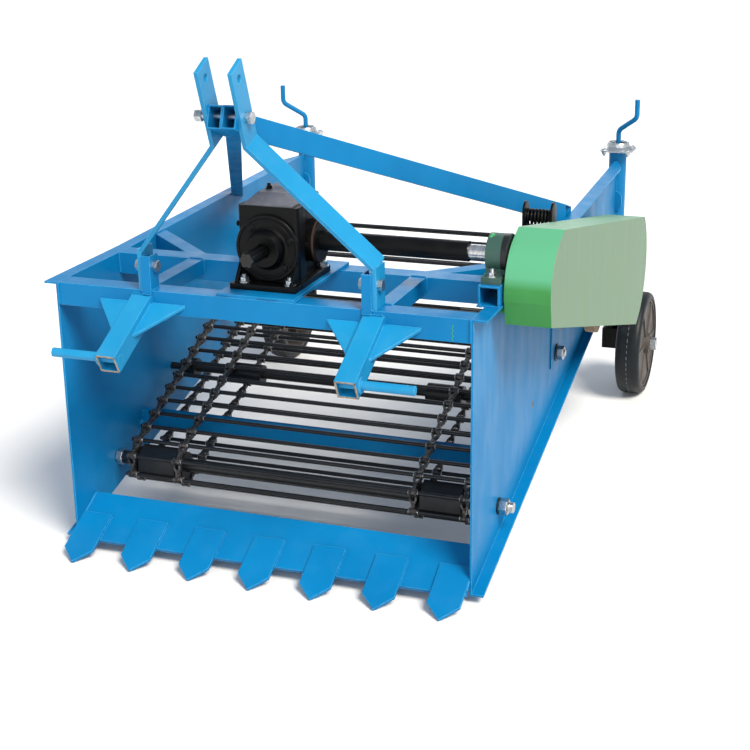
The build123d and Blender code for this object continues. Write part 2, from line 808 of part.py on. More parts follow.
with BuildPart() as lid:
    with BuildSketch(Plane.XY.offset(drive_height + housing_top)):
        with Locations((0, housing_mid_y)):
            Rectangle(2 * gearbox_half, housing_depth - 2 * lid_margin)
    extrude(amount=lid_height, taper=lid_taper)
write(lid, "gearbox_lid")

# Splined input shaft
nose = housing_face - front_cover_thick - front_boss_length
with BuildPart() as input_shaft:
    with BuildSketch(Plane.XZ.offset(-(nose + front_boss_length))):
        with Locations((0, drive_height)):
            Circle(spline_root)
            with PolarLocations(spline_radius / 2, spline_count):
                Rectangle(spline_radius, spline_tooth)
            Circle(spline_radius, mode=Mode.INTERSECT)
    extrude(amount=front_boss_length + spline_length)
write(input_shaft, "input_shaft")

# Cross shaft in its guard tube, carried by a pedestal bearing on the right-hand plate
with BuildPart() as guard:
    with BuildSketch(Plane.YZ.offset(gearbox_half + side_boss_length)):
        with Locations((drive_line_y, drive_height)):
            Circle(guard_radius)
            Circle(shaft_radius + shaft_fit, mode=Mode.SUBTRACT)
    extrude(amount=guard_end - gearbox_half - side_boss_length)
write(guard, "shaft_guard")

chain_dy = drive_y - drive_line_y
chain_dz = drive_shaft_height - drive_height
chain_turn = acos((upper_sprocket - lower_sprocket) / hypot(chain_dy, chain_dz))
chain_up = atan2(chain_dz, chain_dy) + chain_turn
chain_down = atan2(chain_dz, chain_dy) - chain_turn


def chain_loop(outward):
    """Corners (y, z) of the drive chain's loop, moved outwards from its pins."""
    corners = []
    for y, z, radius, begin, end in (
        (drive_y, drive_shaft_height, lower_sprocket + outward, chain_up, chain_down),
        (drive_line_y, drive_height, upper_sprocket + outward, chain_down, chain_up - 2 * pi),
    ):
        for step in range(chain_steps + 1):
            turn = begin + (end - begin) * step / chain_steps
            corners.append((y + radius * cos(turn), z + radius * sin(turn)))
    return corners


with BuildPart() as cross_shaft:
    with BuildSketch(Plane.YZ.offset(gearbox_half)):
        with Locations((drive_line_y, drive_height)):
            Circle(shaft_radius)
    extrude(amount=cover_outer - cover_sheet - shaft_end_room - gearbox_half)
    with BuildSketch(Plane.YZ.offset(chain_line - chain_width / 2)):
        with Locations((drive_line_y, drive_height)):
            Circle((upper_sprocket - chain_half_depth) * cos((pi - chain_turn) / chain_steps) - chain_clear)
    extrude(amount=chain_width)
write(cross_shaft, "cross_shaft")

with BuildPart() as support:
    with BuildSketch(Plane.XZ.offset(-(drive_line_y - support_length / 2))):
        with Locations((bearing_at, plate_top + support_size / 2)):
            Rectangle(support_size, support_size)
            Rectangle(support_size - 2 * tube_wall, support_size - 2 * tube_wall, mode=Mode.SUBTRACT)
    extrude(amount=-support_length)
write(support, "bearing_support")

bearing_floor = plate_top + support_size
with BuildPart() as bearing:
    with BuildSketch(Plane.YZ.offset(bearing_at - bearing_width / 2)):
        with Locations((drive_line_y, drive_height)):
            Circle(bearing_radius)
        with Locations((drive_line_y, bearing_floor + bearing_base / 2)):
            Rectangle(bearing_length, bearing_base)
        with Locations((drive_line_y, (bearing_floor + drive_height) / 2)):
            Rectangle(bearing_waist_ratio * bearing_radius, drive_height - bearing_floor)
        with Locations((drive_line_y, drive_height)):
            Circle(shaft_radius + shaft_fit, mode=Mode.SUBTRACT)
    extrude(amount=bearing_width)
write(bearing, "pedestal_bearing")

# Chain cover: one sheet side and an edge fold over the nose, the top and the rear
def on_cover(corner):
    return front + corner[0], corner[1]


open_lean = atan2(cover_rear_foot[1] - cover_foot[1], cover_rear_foot[0] - cover_foot[0])
open_length = hypot(cover_rear_foot[0] - cover_foot[0], cover_rear_foot[1] - cover_foot[1])
open_middle = on_cover([(a + b) / 2 for a, b in zip(cover_foot, cover_rear_foot)])
with BuildPart() as cover:
    for inset, mode in ((0, Mode.ADD), (cover_sheet, Mode.SUBTRACT)):
        with BuildSketch(Plane.YZ.offset(cover_inner)):
            with BuildLine():
                Line(on_cover(cover_foot), on_cover(cover_chin))
                ThreePointArc(on_cover(cover_chin), on_cover(cover_nose), on_cover(cover_brow))
                Line(on_cover(cover_brow), on_cover(cover_front_top))
                Line(on_cover(cover_front_top), on_cover(cover_rear_top))
                ThreePointArc(on_cover(cover_rear_top), on_cover(cover_rear_bulge), on_cover(cover_rear_foot))
                Line(on_cover(cover_rear_foot), on_cover(cover_foot))
            make_face()
            if inset:
                offset(amount=-inset, mode=Mode.REPLACE)
        extrude(amount=cover_width - inset, mode=mode)
    with BuildSketch(Plane.YZ.offset(cover_inner)):
        with Locations(Location((*open_middle, 0), (0, 0, degrees(open_lean)))):
            Rectangle(open_length - 2 * cover_lap, 2 * cover_lap)
    extrude(amount=cover_width - cover_sheet, mode=Mode.SUBTRACT)
    with BuildSketch(Plane.YZ.offset(plate_out)):
        for back, height in stay_places:
            with Locations((front + back, height)):
                Circle(stay_radius)
    extrude(amount=cover_outer - cover_sheet - plate_out)
write(cover, "chain_cover")

# Drive chain, laid round each sprocket in short straight links
with BuildPart() as drive_chain:
    with BuildSketch(Plane.YZ.offset(chain_line - chain_width / 2)):
        with BuildLine():
            Polyline(*chain_loop(chain_half_depth), close=True)
        make_face()
        with BuildLine():
            Polyline(*chain_loop(-chain_half_depth), close=True)
        make_face(mode=Mode.SUBTRACT)
    extrude(amount=chain_width)
write(drive_chain, "drive_chain")

# Tension wheel: turns on a pin of the plate and presses the chain's lower run from below
chain_share = (front + tension_back - drive_line_y) / chain_dy
run_radius = upper_sprocket + chain_share * (lower_sprocket - upper_sprocket)
run_below = run_radius + chain_half_depth + chain_clear + tension_radius
tension_z = drive_height + chain_share * chain_dz + run_below / sin(chain_down)
with BuildPart() as tension:
    for start, end, radius in (
        (plate_out, chain_line + tension_width / 2 + tension_pin_end, tension_pin),
        (plate_out, chain_line - tension_width / 2, tension_collar),
        (chain_line - tension_width / 2, chain_line + tension_width / 2, tension_radius),
    ):
        with BuildSketch(Plane.YZ.offset(start)):
            with Locations((front + tension_back, tension_z)):
                Circle(radius)
        extrude(amount=end - start)
write(tension, "tension_wheel")

# Spring tensioner: two uprights on the right-hand plate's top with a coil spring between them
spring_far = plate_out + lip_width + spring_upright / 2
climb_slope = atan2(climb_right, plate_rear - climb_from)
spring_floor = top_height(spring_back, climb_right)
with BuildPart() as tensioner:
    with BuildSketch(Plane.YZ.offset(spring_near)):
        with Locations((front + spring_back, spring_floor)):
            Rectangle(spring_depth, 2 * spring_base)
    extrude(amount=spring_far - spring_near)
    for at in (spring_near, spring_far - spring_upright):
        with BuildSketch(Plane.YZ.offset(at)):
            with Locations((front + spring_back, spring_floor + spring_height / 2)):
                Rectangle(spring_depth, spring_height)
        extrude(amount=spring_upright)
    spring_room = spring_far - spring_near - 2 * spring_upright
    with BuildSketch(Plane.YZ.offset(spring_near + spring_upright)):
        with Locations((front + spring_back, spring_floor + spring_axis)):
            Circle(spring_core)
    extrude(amount=spring_room)
    for number in range(spring_coils):
        at = spring_near + spring_upright + (number + 0.5) * spring_room / spring_coils
        with BuildSketch(Plane.YZ.offset(at - spring_wire / 2)):
            with Locations((front + spring_back, spring_floor + spring_axis)):
                Circle(spring_radius)
        extrude(amount=spring_wire)
    seat = Plane(
        origin=(0, front + climb_from, plate_top),
        z_dir=(0, -sin(climb_slope), cos(climb_slope)),
    )
    split(bisect_by=seat, keep=Keep.TOP)
write(tensioner, "spring_tensioner")

# Chain strands of the web, one fixed loop each, notched on the outside for the rods
chain_places = (-chain_outer_at, -chain_inner_at, chain_inner_at, chain_outer_at)
notch_depth = (rod_radius + rod_seat) * sqrt(2)
outer_edge = []
inner_stops = [0, web_span, web_span + rear_arc, 2 * web_span + rear_arc]
for number in range(rod_count):
    along = rod_along(number) % loop_length
    for ahead, outward in (
        (-notch_depth - link_outer, link_outer),
        (0, -notch_depth),
        (notch_depth + link_outer, link_outer),
    ):
        outer_edge.append(loop_point(along, outward, ahead))
    if web_span < along < web_span + rear_arc or along > 2 * web_span + rear_arc:
        inner_stops.append(along)
inner_edge = [loop_point(stop, -link_inner) for stop in sorted(inner_stops)]
with BuildPart() as strands:
    for place in chain_places:
        with BuildSketch(Plane.YZ.offset(place - link_width / 2)):
            with BuildLine():
                Polyline(*outer_edge, close=True)
            make_face()
            with BuildLine():
                Polyline(*inner_edge, close=True)
            make_face(mode=Mode.SUBTRACT)
        extrude(amount=link_width)
write(strands, "web_chains")

# Rods of the web, hooked into the strands
rod_half = chain_outer_at + link_width / 2 + rod_overhang
with BuildPart() as rods:
    with BuildSketch(Plane.YZ.offset(-rod_half)):
        for number in range(rod_count):
            flat_turn = degrees(loop_place(rod_along(number))[1]) + 180 / rod_sides
            with Locations(loop_point(rod_along(number), 0)):
                RegularPolygon(rod_radius, rod_sides, major_radius=False, rotation=flat_turn)
    extrude(amount=2 * rod_half)
write(rods, "web_rods")

# Idler at the front: bolted shaft in a tube, six-sided drums and discs under the strands
idler_disc = (idler_pitch_radius - link_inner) * cos(pi / idler_teeth) - chain_clear
drum_radius = idler_pitch_radius - rod_radius - chain_clear
with BuildPart() as idler:
    with BuildSketch(Plane.YZ.offset(idler_lock - plate_in)):
        with Locations((idler_y, idler_height)):
            Circle(idler_tube)
    extrude(amount=inner_width - 2 * idler_lock)
    for place in chain_places:
        with BuildSketch(Plane.YZ.offset(place - disc_width / 2)):
            with Locations((idler_y, idler_height)):
                Circle(idler_disc)
        extrude(amount=disc_width)
    for side in (-1, 1):
        near = chain_inner_at + drum_gap
        far = chain_outer_at - drum_gap
        with BuildSketch(Plane.YZ.offset(side * near)):
            with Locations((idler_y, idler_height)):
                RegularPolygon(drum_radius, idler_teeth, rotation=drum_corner)
        extrude(amount=side * (far - near))
        nut_at = plate_out + idler_washer
        for start, end, radius, sides in (
            (plate_in - idler_lock, nut_at + idler_nut_thick + idler_thread, idler_shaft_radius, 0),
            (plate_in - idler_lock, plate_in, idler_nut / 2, 6),
            (plate_out, nut_at, idler_washer_radius, 0),
            (nut_at, nut_at + idler_nut_thick, idler_nut / 2, 6),
        ):
            with BuildSketch(Plane.YZ.offset(side * start)):
                with Locations((idler_y, idler_height)):
                    if sides:
                        RegularPolygon(radius, sides, major_radius=False)
                    else:
                        Circle(radius)
            extrude(amount=side * (end - start))
write(idler, "web_idler")

# Drive shaft at the rear with its toothed wheels, running out to the chain's lower sprocket
drive_disc = (drive_pitch_radius - link_inner) * cos(pi / drive_teeth) - chain_clear
tooth_valley = drive_pitch_radius - rod_radius / cos(pi / rod_sides) - chain_clear
tooth_tip = drive_pitch_radius + tooth_rise
middle_rod = round((web_span + rear_arc / 2) / rod_step)
tooth_turn = loop_place(rod_along(middle_rod))[1]
with BuildPart() as drive:
    with BuildSketch(Plane.YZ.offset(-plate_out - drive_stub)):
        with Locations((drive_y, drive_shaft_height)):
            Circle(drive_shaft_radius)
    extrude(amount=plate_out + drive_stub + cover_outer - cover_sheet - shaft_end_room)
    for place in chain_places:
        with BuildSketch(Plane.YZ.offset(place - disc_width / 2)):
            with Locations((drive_y, drive_shaft_height)):
                Circle(drive_disc)
        extrude(amount=disc_width)
        inwards = -1 if place > 0 else 1
        teeth = []
        for number in range(drive_teeth):
            for turn, radius in (
                (tooth_turn + number * 2 * pi / drive_teeth, tooth_valley),
                (tooth_turn + (number + 0.5) * 2 * pi / drive_teeth, tooth_tip),
            ):
                teeth.append((drive_y + radius * cos(turn), drive_shaft_height + radius * sin(turn)))
        with BuildSketch(Plane.YZ.offset(place + inwards * (link_width / 2 + tooth_wheel_gap))):
            with BuildLine():
                Polyline(*teeth, close=True)
            make_face()
        extrude(amount=inwards * tooth_wheel_thick)
    with BuildSketch(Plane.YZ.offset(chain_line - chain_width / 2)):
        with Locations((drive_y, drive_shaft_height)):
            Circle((lower_sprocket - chain_half_depth) * cos(chain_turn / chain_steps) - chain_clear)
    extrude(amount=chain_width)
write(drive, "web_drive_shaft")

# Carrying rollers under the upper run
with BuildPart() as rollers:
    for back in roller_backs:
        at = (front + back, roller_height(back))
        with BuildSketch(Plane.YZ.offset(-plate_out)):
            with Locations(at):
                Circle(roller_shaft_radius)
        extrude(amount=2 * plate_out)
        for side in (-1, 1):
            for outside, width in (
                (chain_outer_at + roller_width / 2, roller_width),
                (chain_inner_at + roller_outside, roller_long),
            ):
                with BuildSketch(Plane.YZ.offset(side * outside)):
                    with Locations(at):
                        Circle(roller_radius)
                extrude(amount=-side * width)
write(rollers, "carrying_rollers")

# Flat crossbar between the plates, inside the web's loop
with BuildPart() as crossbar:
    with BuildSketch(Plane.YZ.offset(-plate_in)):
        with Locations((front + crossbar_back, crossbar_height + crossbar_tall / 2)):
            Rectangle(crossbar_thick, crossbar_tall)
    extrude(amount=inner_width)
write(crossbar, "crossbar")


# Screw jacks: outer tube welded to the plate's rear edge, flanged nut and crank on top
def jack_tube(side, label):
    with BuildPart() as tube:
        with BuildSketch(Plane.XY.offset(jack_foot)):
            with Locations((side * plate_mid, jack_y)):
                Circle(jack_radius)
                Circle(jack_bore, mode=Mode.SUBTRACT)
        extrude(amount=jack_top - jack_foot)
    write(tube, label)


def jack_flange(side, label):
    with BuildPart() as flange:
        with BuildSketch(Plane.XY.offset(jack_top)):
            with Locations((side * plate_mid, jack_y)):
                RectangleRounded(flange_size, flange_size, flange_corner)
        extrude(amount=flange_plate - flange_dome)
        with BuildSketch(Plane.XY.offset(jack_top + flange_plate - flange_dome)):
            with Locations((side * plate_mid, jack_y)):
                RectangleRounded(flange_size, flange_size, flange_corner)
        extrude(amount=flange_dome, taper=flange_dome_taper)
        with BuildSketch(Plane.XY.offset(jack_top + flange_plate)):
            with Locations((side * plate_mid, jack_y)):
                Circle(flange_boss_radius)
        extrude(amount=flange_boss, taper=flange_boss_taper)
        with BuildSketch(Plane.XY.offset(jack_top)):
            with Locations((side * plate_mid, jack_y)):
                Circle(crank_radius + shaft_fit)
        extrude(amount=flange_plate + flange_boss, mode=Mode.SUBTRACT)
    write(flange, label)


def crank(side, label):
    base = jack_top + flange_plate
    rise = base + flange_boss + crank_rise
    centre = side * plate_mid
    with BuildPart() as handle:
        with BuildLine() as path:
            FilletPolyline(
                (centre, jack_y, base - screw_reach),
                (centre, jack_y, rise),
                (centre + side * crank_step_out, jack_y - crank_step_ahead, rise + crank_step_up),
                (centre + side * crank_step_out, jack_y - crank_step_ahead, rise + crank_step_up + crank_grip),
                radius=crank_bend,
            )
        with BuildSketch(Plane(origin=(centre, jack_y, base - screw_reach), z_dir=(0, 0, 1))):
            Circle(crank_radius)
        sweep()
    write(handle, label)


# Sliding wheel legs with a stub axle, and the wheels
def wheel_leg(side, label):
    centre = side * plate_mid
    with BuildPart() as leg:
        with BuildSketch(Plane.XY.offset(wheel_radius + block_rise)):
            with Locations((centre, jack_y)):
                Circle(jack_bore - leg_clear)
        extrude(amount=leg_top - wheel_radius - block_rise)
        with BuildSketch(Plane.XY.offset(wheel_radius + block_rise - block_tall / 2)):
            with Locations((centre, jack_y)):
                Rectangle(block_wide, block_deep)
        extrude(amount=block_tall)
        hub_inside = wheel_inner_at - hub_reach - hub_room
        hub_outside = wheel_outer + hub_reach + hub_room
        for start, end, radius in (
            (plate_mid, axle_cap, axle_radius),
            (plate_mid, hub_inside, axle_lug / 2),
            (hub_outside, axle_cap, axle_cap_radius),
        ):
            with BuildSketch(Plane.YZ.offset(side * start)):
                with Locations((jack_y, wheel_radius)):
                    Circle(radius)
            extrude(amount=side * (end - start))
    write(leg, label)


def wheel_tyre(side, label):
    with BuildPart() as tyre:
        with BuildSketch(Plane.YZ.offset(side * wheel_inner_at)):
            with Locations((jack_y, wheel_radius)):
                Circle(wheel_radius)
                Circle(rim_radius, mode=Mode.SUBTRACT)
        extrude(amount=side * wheel_width)
    write(tyre, label)


def wheel_disc(side, label):
    rim_in = rim_radius - rim_wall
    disc_face = wheel_outer - disc_recess
    with BuildPart() as disc:
        with BuildSketch(Plane.YZ.offset(side * (wheel_inner_at + rim_inset))):
            with Locations((jack_y, wheel_radius)):
                Circle(rim_radius)
                Circle(rim_in, mode=Mode.SUBTRACT)
        extrude(amount=side * (wheel_width - 2 * rim_inset))
        with BuildSketch(Plane.YZ.offset(side * disc_face)):
            with Locations((jack_y, wheel_radius)):
                Circle(rim_in + rim_wall / 2)
        extrude(amount=-side * disc_thick)
        with BuildSketch(Plane.YZ.offset(side * (wheel_outer - rim_inset))):
            with Locations((jack_y, wheel_radius)):
                with PolarLocations((hub_radius + rim_in) / 2, spoke_count):
                    Rectangle(rim_in - hub_radius + rim_wall, spoke_thick)
        extrude(amount=-side * spoke_depth)
        with BuildSketch(Plane.YZ.offset(side * (wheel_inner_at - hub_reach))):
            with Locations((jack_y, wheel_radius)):
                Circle(hub_radius)
        extrude(amount=side * (wheel_width + 2 * hub_reach))
        with BuildSketch(Plane.YZ.offset(side * (wheel_inner_at - hub_reach))):
            with Locations((jack_y, wheel_radius)):
                Circle(axle_radius + axle_fit)
        extrude(amount=side * (wheel_width + 2 * hub_reach), mode=Mode.SUBTRACT)
    write(disc, label)


for side, name in ((-1, "left"), (1, "right")):
    jack_tube(side, "jack_tube_" + name)
    jack_flange(side, "jack_flange_" + name)
    crank(side, "crank_" + name)
    wheel_leg(side, "wheel_leg_" + name)
    wheel_tyre(side, "tyre_" + name)
    wheel_disc(side, "wheel_" + name)

print("front", round(front, 3), "drive_line_y", round(drive_line_y, 3), "jack_y", round(jack_y, 3))
print("pin", round(pin_y, 3), round(pin_z, 3))
print("mast hole y", round(mast_y(mast_hole_height), 3), "rods", rod_count)
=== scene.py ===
import json
from math import acos, atan2, cos, hypot, pi, radians, sin, sqrt

import bmesh
import bpy
from mathutils import Matrix, Vector


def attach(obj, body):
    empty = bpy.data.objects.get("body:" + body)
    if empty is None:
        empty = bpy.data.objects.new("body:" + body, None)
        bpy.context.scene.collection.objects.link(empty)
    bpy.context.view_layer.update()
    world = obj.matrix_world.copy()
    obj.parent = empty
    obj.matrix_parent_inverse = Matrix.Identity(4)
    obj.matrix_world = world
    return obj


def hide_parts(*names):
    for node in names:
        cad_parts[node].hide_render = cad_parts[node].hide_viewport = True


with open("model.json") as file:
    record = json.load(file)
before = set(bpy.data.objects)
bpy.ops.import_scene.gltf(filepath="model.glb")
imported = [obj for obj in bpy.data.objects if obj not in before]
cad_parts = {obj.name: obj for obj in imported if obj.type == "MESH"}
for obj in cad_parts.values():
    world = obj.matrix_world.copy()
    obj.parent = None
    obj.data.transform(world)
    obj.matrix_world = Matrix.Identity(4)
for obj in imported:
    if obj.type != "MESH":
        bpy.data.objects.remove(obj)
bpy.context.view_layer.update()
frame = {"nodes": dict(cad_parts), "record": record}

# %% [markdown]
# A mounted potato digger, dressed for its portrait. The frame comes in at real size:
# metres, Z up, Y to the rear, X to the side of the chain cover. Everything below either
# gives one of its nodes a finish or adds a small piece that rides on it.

MM = 0.001
X_AXIS = Vector((1, 0, 0))
Y_AXIS = Vector((0, 1, 0))
Z_AXIS = Vector((0, 0, 1))
scene = bpy.context.scene
nodes = frame["nodes"]

# %% [markdown]
# The camera stands in front of the machine, to its right and well above the share, and
# looks back and down. Its place, turn and lens were found by fitting the machine's own
# corners to their places in the photograph. The view transform is the standard one, so
# that a colour picked on a screen comes out as it was picked.

# %% Camera
picture_width = 750
focal_pixels = 1516.85
sensor_width = 36.0
camera_place = (1.430, -3.872, 1.683)
camera_yaw = 20.19
camera_pitch = -19.07
camera_roll = -0.83

camera = bpy.data.objects.new("camera", bpy.data.cameras.new("camera"))
scene.collection.objects.link(camera)
camera.data.sensor_width = sensor_width
camera.data.lens = focal_pixels / picture_width * sensor_width
yaw = Matrix.Rotation(radians(camera_yaw), 4, "Z")
pitch = Matrix.Rotation(radians(90 + camera_pitch), 4, "X")
roll = Matrix.Rotation(radians(camera_roll), 4, "Z")
camera.matrix_world = Matrix.Translation(camera_place) @ yaw @ pitch @ roll
scene.camera = camera
scene.view_settings.view_transform = "Standard"
print("lens", round(camera.data.lens, 1), "mm")

# %% [markdown]
# Colours are picked as hex values on a screen, which are sRGB. Shaders work in linear
# light, so one function turns one into the other.

# %% Colours
def linear(hex_colour):
    channels = []
    for start in (1, 3, 5):
        value = int(hex_colour[start:start + 2], 16) / 255
        channels.append(value / 12.92 if value <= 0.04045 else ((value + 0.055) / 1.055) ** 2.4)
    return (*channels, 1.0)


def grey(value):
    return (value, value, value, 1.0)


print("mid grey in linear light:", round(linear("#808080")[0], 3))

# %% [markdown]
# A material is a tree of nodes. One function adds any node to it, together with its
# settings, its values, what feeds it and, for a colour ramp, its stops. Patterns are laid
# on the object's own coordinates, so that they ride with the piece when it moves, and
# their scale is worked out from the size of the real thing.

# %% Nodes
def add(tree, kind, settings=None, sockets=None, links=None, stops=()):
    """One node; links give (node, output) for an input, stops (position, colour)."""
    node = tree.nodes.new("ShaderNode" + kind)
    for name, value in (settings or {}).items():
        setattr(node, name, value)
    for name, value in (sockets or {}).items():
        node.inputs[name].default_value = value
    for name, (source, output) in (links or {}).items():
        tree.links.new(source.outputs[output], node.inputs[name])
    if stops:
        elements = node.color_ramp.elements
        while len(elements) < len(stops):
            elements.new(0.5)
        for element, (position, colour) in zip(elements, stops):
            element.position = position
            element.color = colour
    return node


def per_metre(size_mm):
    """Texture scale that gives a pattern whose features are about this size."""
    return 1000.0 / size_mm


def start_material(name):
    """A new material, its tree, and the link that lays a pattern on the object."""
    material = bpy.data.materials.new(name)
    material.use_nodes = True
    tree = material.node_tree
    tree.nodes.clear()
    return material, tree, {"Vector": (add(tree, "TexCoord"), "Object")}


# a mix node that lays one colour over another, and the numbers of its sockets
COLOURS = {"data_type": "RGBA"}
UNDER, OVER, MIXED = 6, 7, 2
print("node helper ready")

# %% [markdown]
# No edge on a welded machine is knife sharp: sheet is deburred and paint rounds the rest.
# A bevel node bends the light there by a millimetre or two, and where the bent direction leaves the flat
# one there is an edge, so the same node tells where wear and a painted highlight go.

# %% Edges that catch the light
def round_edges(tree, width_mm):
    """Rounded normal, and a mask that is white along the edges."""
    rounded = add(tree, "Bevel", {"samples": 6}, {"Radius": width_mm * MM})
    flat = add(tree, "NewGeometry")
    directions = {0: (rounded, 0), 1: (flat, "Normal")}
    same = add(tree, "VectorMath", {"operation": "DOT_PRODUCT"}, links=directions)
    fall_off = [(0.80, grey(1)), (0.985, grey(0))]
    edges = add(tree, "ValToRGB", links={"Fac": (same, "Value")}, stops=fall_off)
    return rounded, edges


print("edge mask ready")

# %% [markdown]
# Gloss enamel is sprayed over bare steel. Up close it has a fine orange-peel skin, it is a little
# thinner and paler along edges, where a highlight is painted in as well, and workshop dust dulls it here
# and there. One function makes every enamel on the machine.

# %% Enamel
def enamel(name, colour, deep, edge, dust, dust_amount, roughness, coat, gloss_level):
    """Sprayed paint: deep under thick paint, edge where it is thin and as a painted highlight, dust in
    smudges.
    """
    material, tree, place = start_material(name)
    rounded, edges = round_edges(tree, 2.2)
    # thick and thin coat, in clouds about 240 mm across
    clouds = add(tree, "TexNoise", sockets={"Scale": per_metre(240), "Detail": 4.0}, links=place)
    tones = [(0.32, linear(deep)), (0.66, linear(colour))]
    body = add(tree, "ValToRGB", links={"Fac": (clouds, "Fac")}, stops=tones)
    # worn edges with a painted highlight along them, broken up every 14 mm
    rubs_and_glints = add(tree, "TexNoise", sockets={"Scale": per_metre(14), "Detail": 5.0}, links=place)
    wear_and_highlight = add(tree, "Math", {"operation": "MULTIPLY"}, links={0: (edges, "Color"), 1: (rubs_and_glints, "Fac")})
    amounts = [(0.14, grey(0)), (0.52, grey(0.85))]
    wear_and_highlight_mask = add(tree, "ValToRGB", links={"Fac": (wear_and_highlight, "Value")}, stops=amounts)
    sources = {"Factor": (wear_and_highlight_mask, "Color"), UNDER: (body, "Color")}
    edged = add(tree, "Mix", COLOURS, {OVER: linear(edge)}, sources)
    # dust runs down, so its smudges are drawn out along Z
    drawn_out = add(tree, "Mapping", sockets={"Scale": (1, 1, 0.35)}, links=place)
    smudge_size = {"Scale": per_metre(55), "Detail": 6.0}
    smudges = add(tree, "TexNoise", sockets=smudge_size, links={"Vector": (drawn_out, 0)})
    amounts = [(0.50, grey(0)), (0.82, grey(dust_amount))]
    dust_mask = add(tree, "ValToRGB", links={"Fac": (smudges, "Fac")}, stops=amounts)
    sources = {"Factor": (dust_mask, "Color"), UNDER: (edged, MIXED)}
    dusty = add(tree, "Mix", COLOURS, {OVER: linear(dust)}, sources)
    dullness = [(0.35, grey(roughness)), (0.80, grey(min(1.0, roughness + 0.22)))]
    gloss = add(tree, "ValToRGB", links={"Fac": (smudges, "Fac")}, stops=dullness)
    # orange peel, 3 mm wide and as deep as a hair
    peel = add(tree, "TexNoise", sockets={"Scale": per_metre(3.2), "Detail": 2.0}, links=place)
    sources = {"Height": (peel, "Fac"), "Normal": (rounded, 0)}
    skin = add(tree, "Bump", sockets={"Distance": 0.05 * MM, "Strength": 0.55}, links=sources)
    values = {"Specular IOR Level": gloss_level, "Coat Weight": coat, "Coat Roughness": 0.12}
    sources = {"Base Color": (dusty, MIXED), "Roughness": (gloss, "Color"), "Normal": (skin, 0)}
    shader = add(tree, "BsdfPrincipled", sockets=values, links=sources)
    add(tree, "OutputMaterial", links={"Surface": (shader, 0)})
    return material


# blue: the machine's own colour, glossy, with a deeper tone where the coat is thick
blue_enamel = enamel("blue_gloss_enamel", colour="#0374AC", deep="#036BA2", edge="#5DB9E8",
                     dust="#4F93BC", dust_amount=0.06, roughness=0.36, coat=0.04, gloss_level=0.16)
# lighter blue: a lit copy of the blue for mast legs, hitch arms and pins, a painted reflection of the
# sky
sky_lit_enamel = enamel("sky_lit_blue_enamel", colour="#1A8ABC", deep="#157FB0", edge="#62BCE6",
                      dust="#74AECB", dust_amount=0.08, roughness=0.32, coat=0.08, gloss_level=0.25)
# bearing green: dark and dull, brushed over rough cast iron
bearing_enamel = enamel("dark_green_bearing_paint", colour="#32534A", deep="#28453E", edge="#5F7A72",
                        dust="#7C8C84", dust_amount=0.2, roughness=0.42, coat=0.0, gloss_level=0.4)
# black: satin paint over the gearbox casting and small iron parts
black_enamel = enamel("satin_black_paint", colour="#050606", deep="#030304", edge="#232528",
                      dust="#1E1F21", dust_amount=0.12, roughness=0.34, coat=0.0, gloss_level=0.18)
# tan: worn varnish on the wooden tension wheel
tan_varnish = enamel("worn_tan_varnish", colour="#94795A", deep="#7C6650", edge="#BBA688",
                     dust="#A69C8C", dust_amount=0.25, roughness=0.5, coat=0.0, gloss_level=0.3)
print("five enamels mixed")
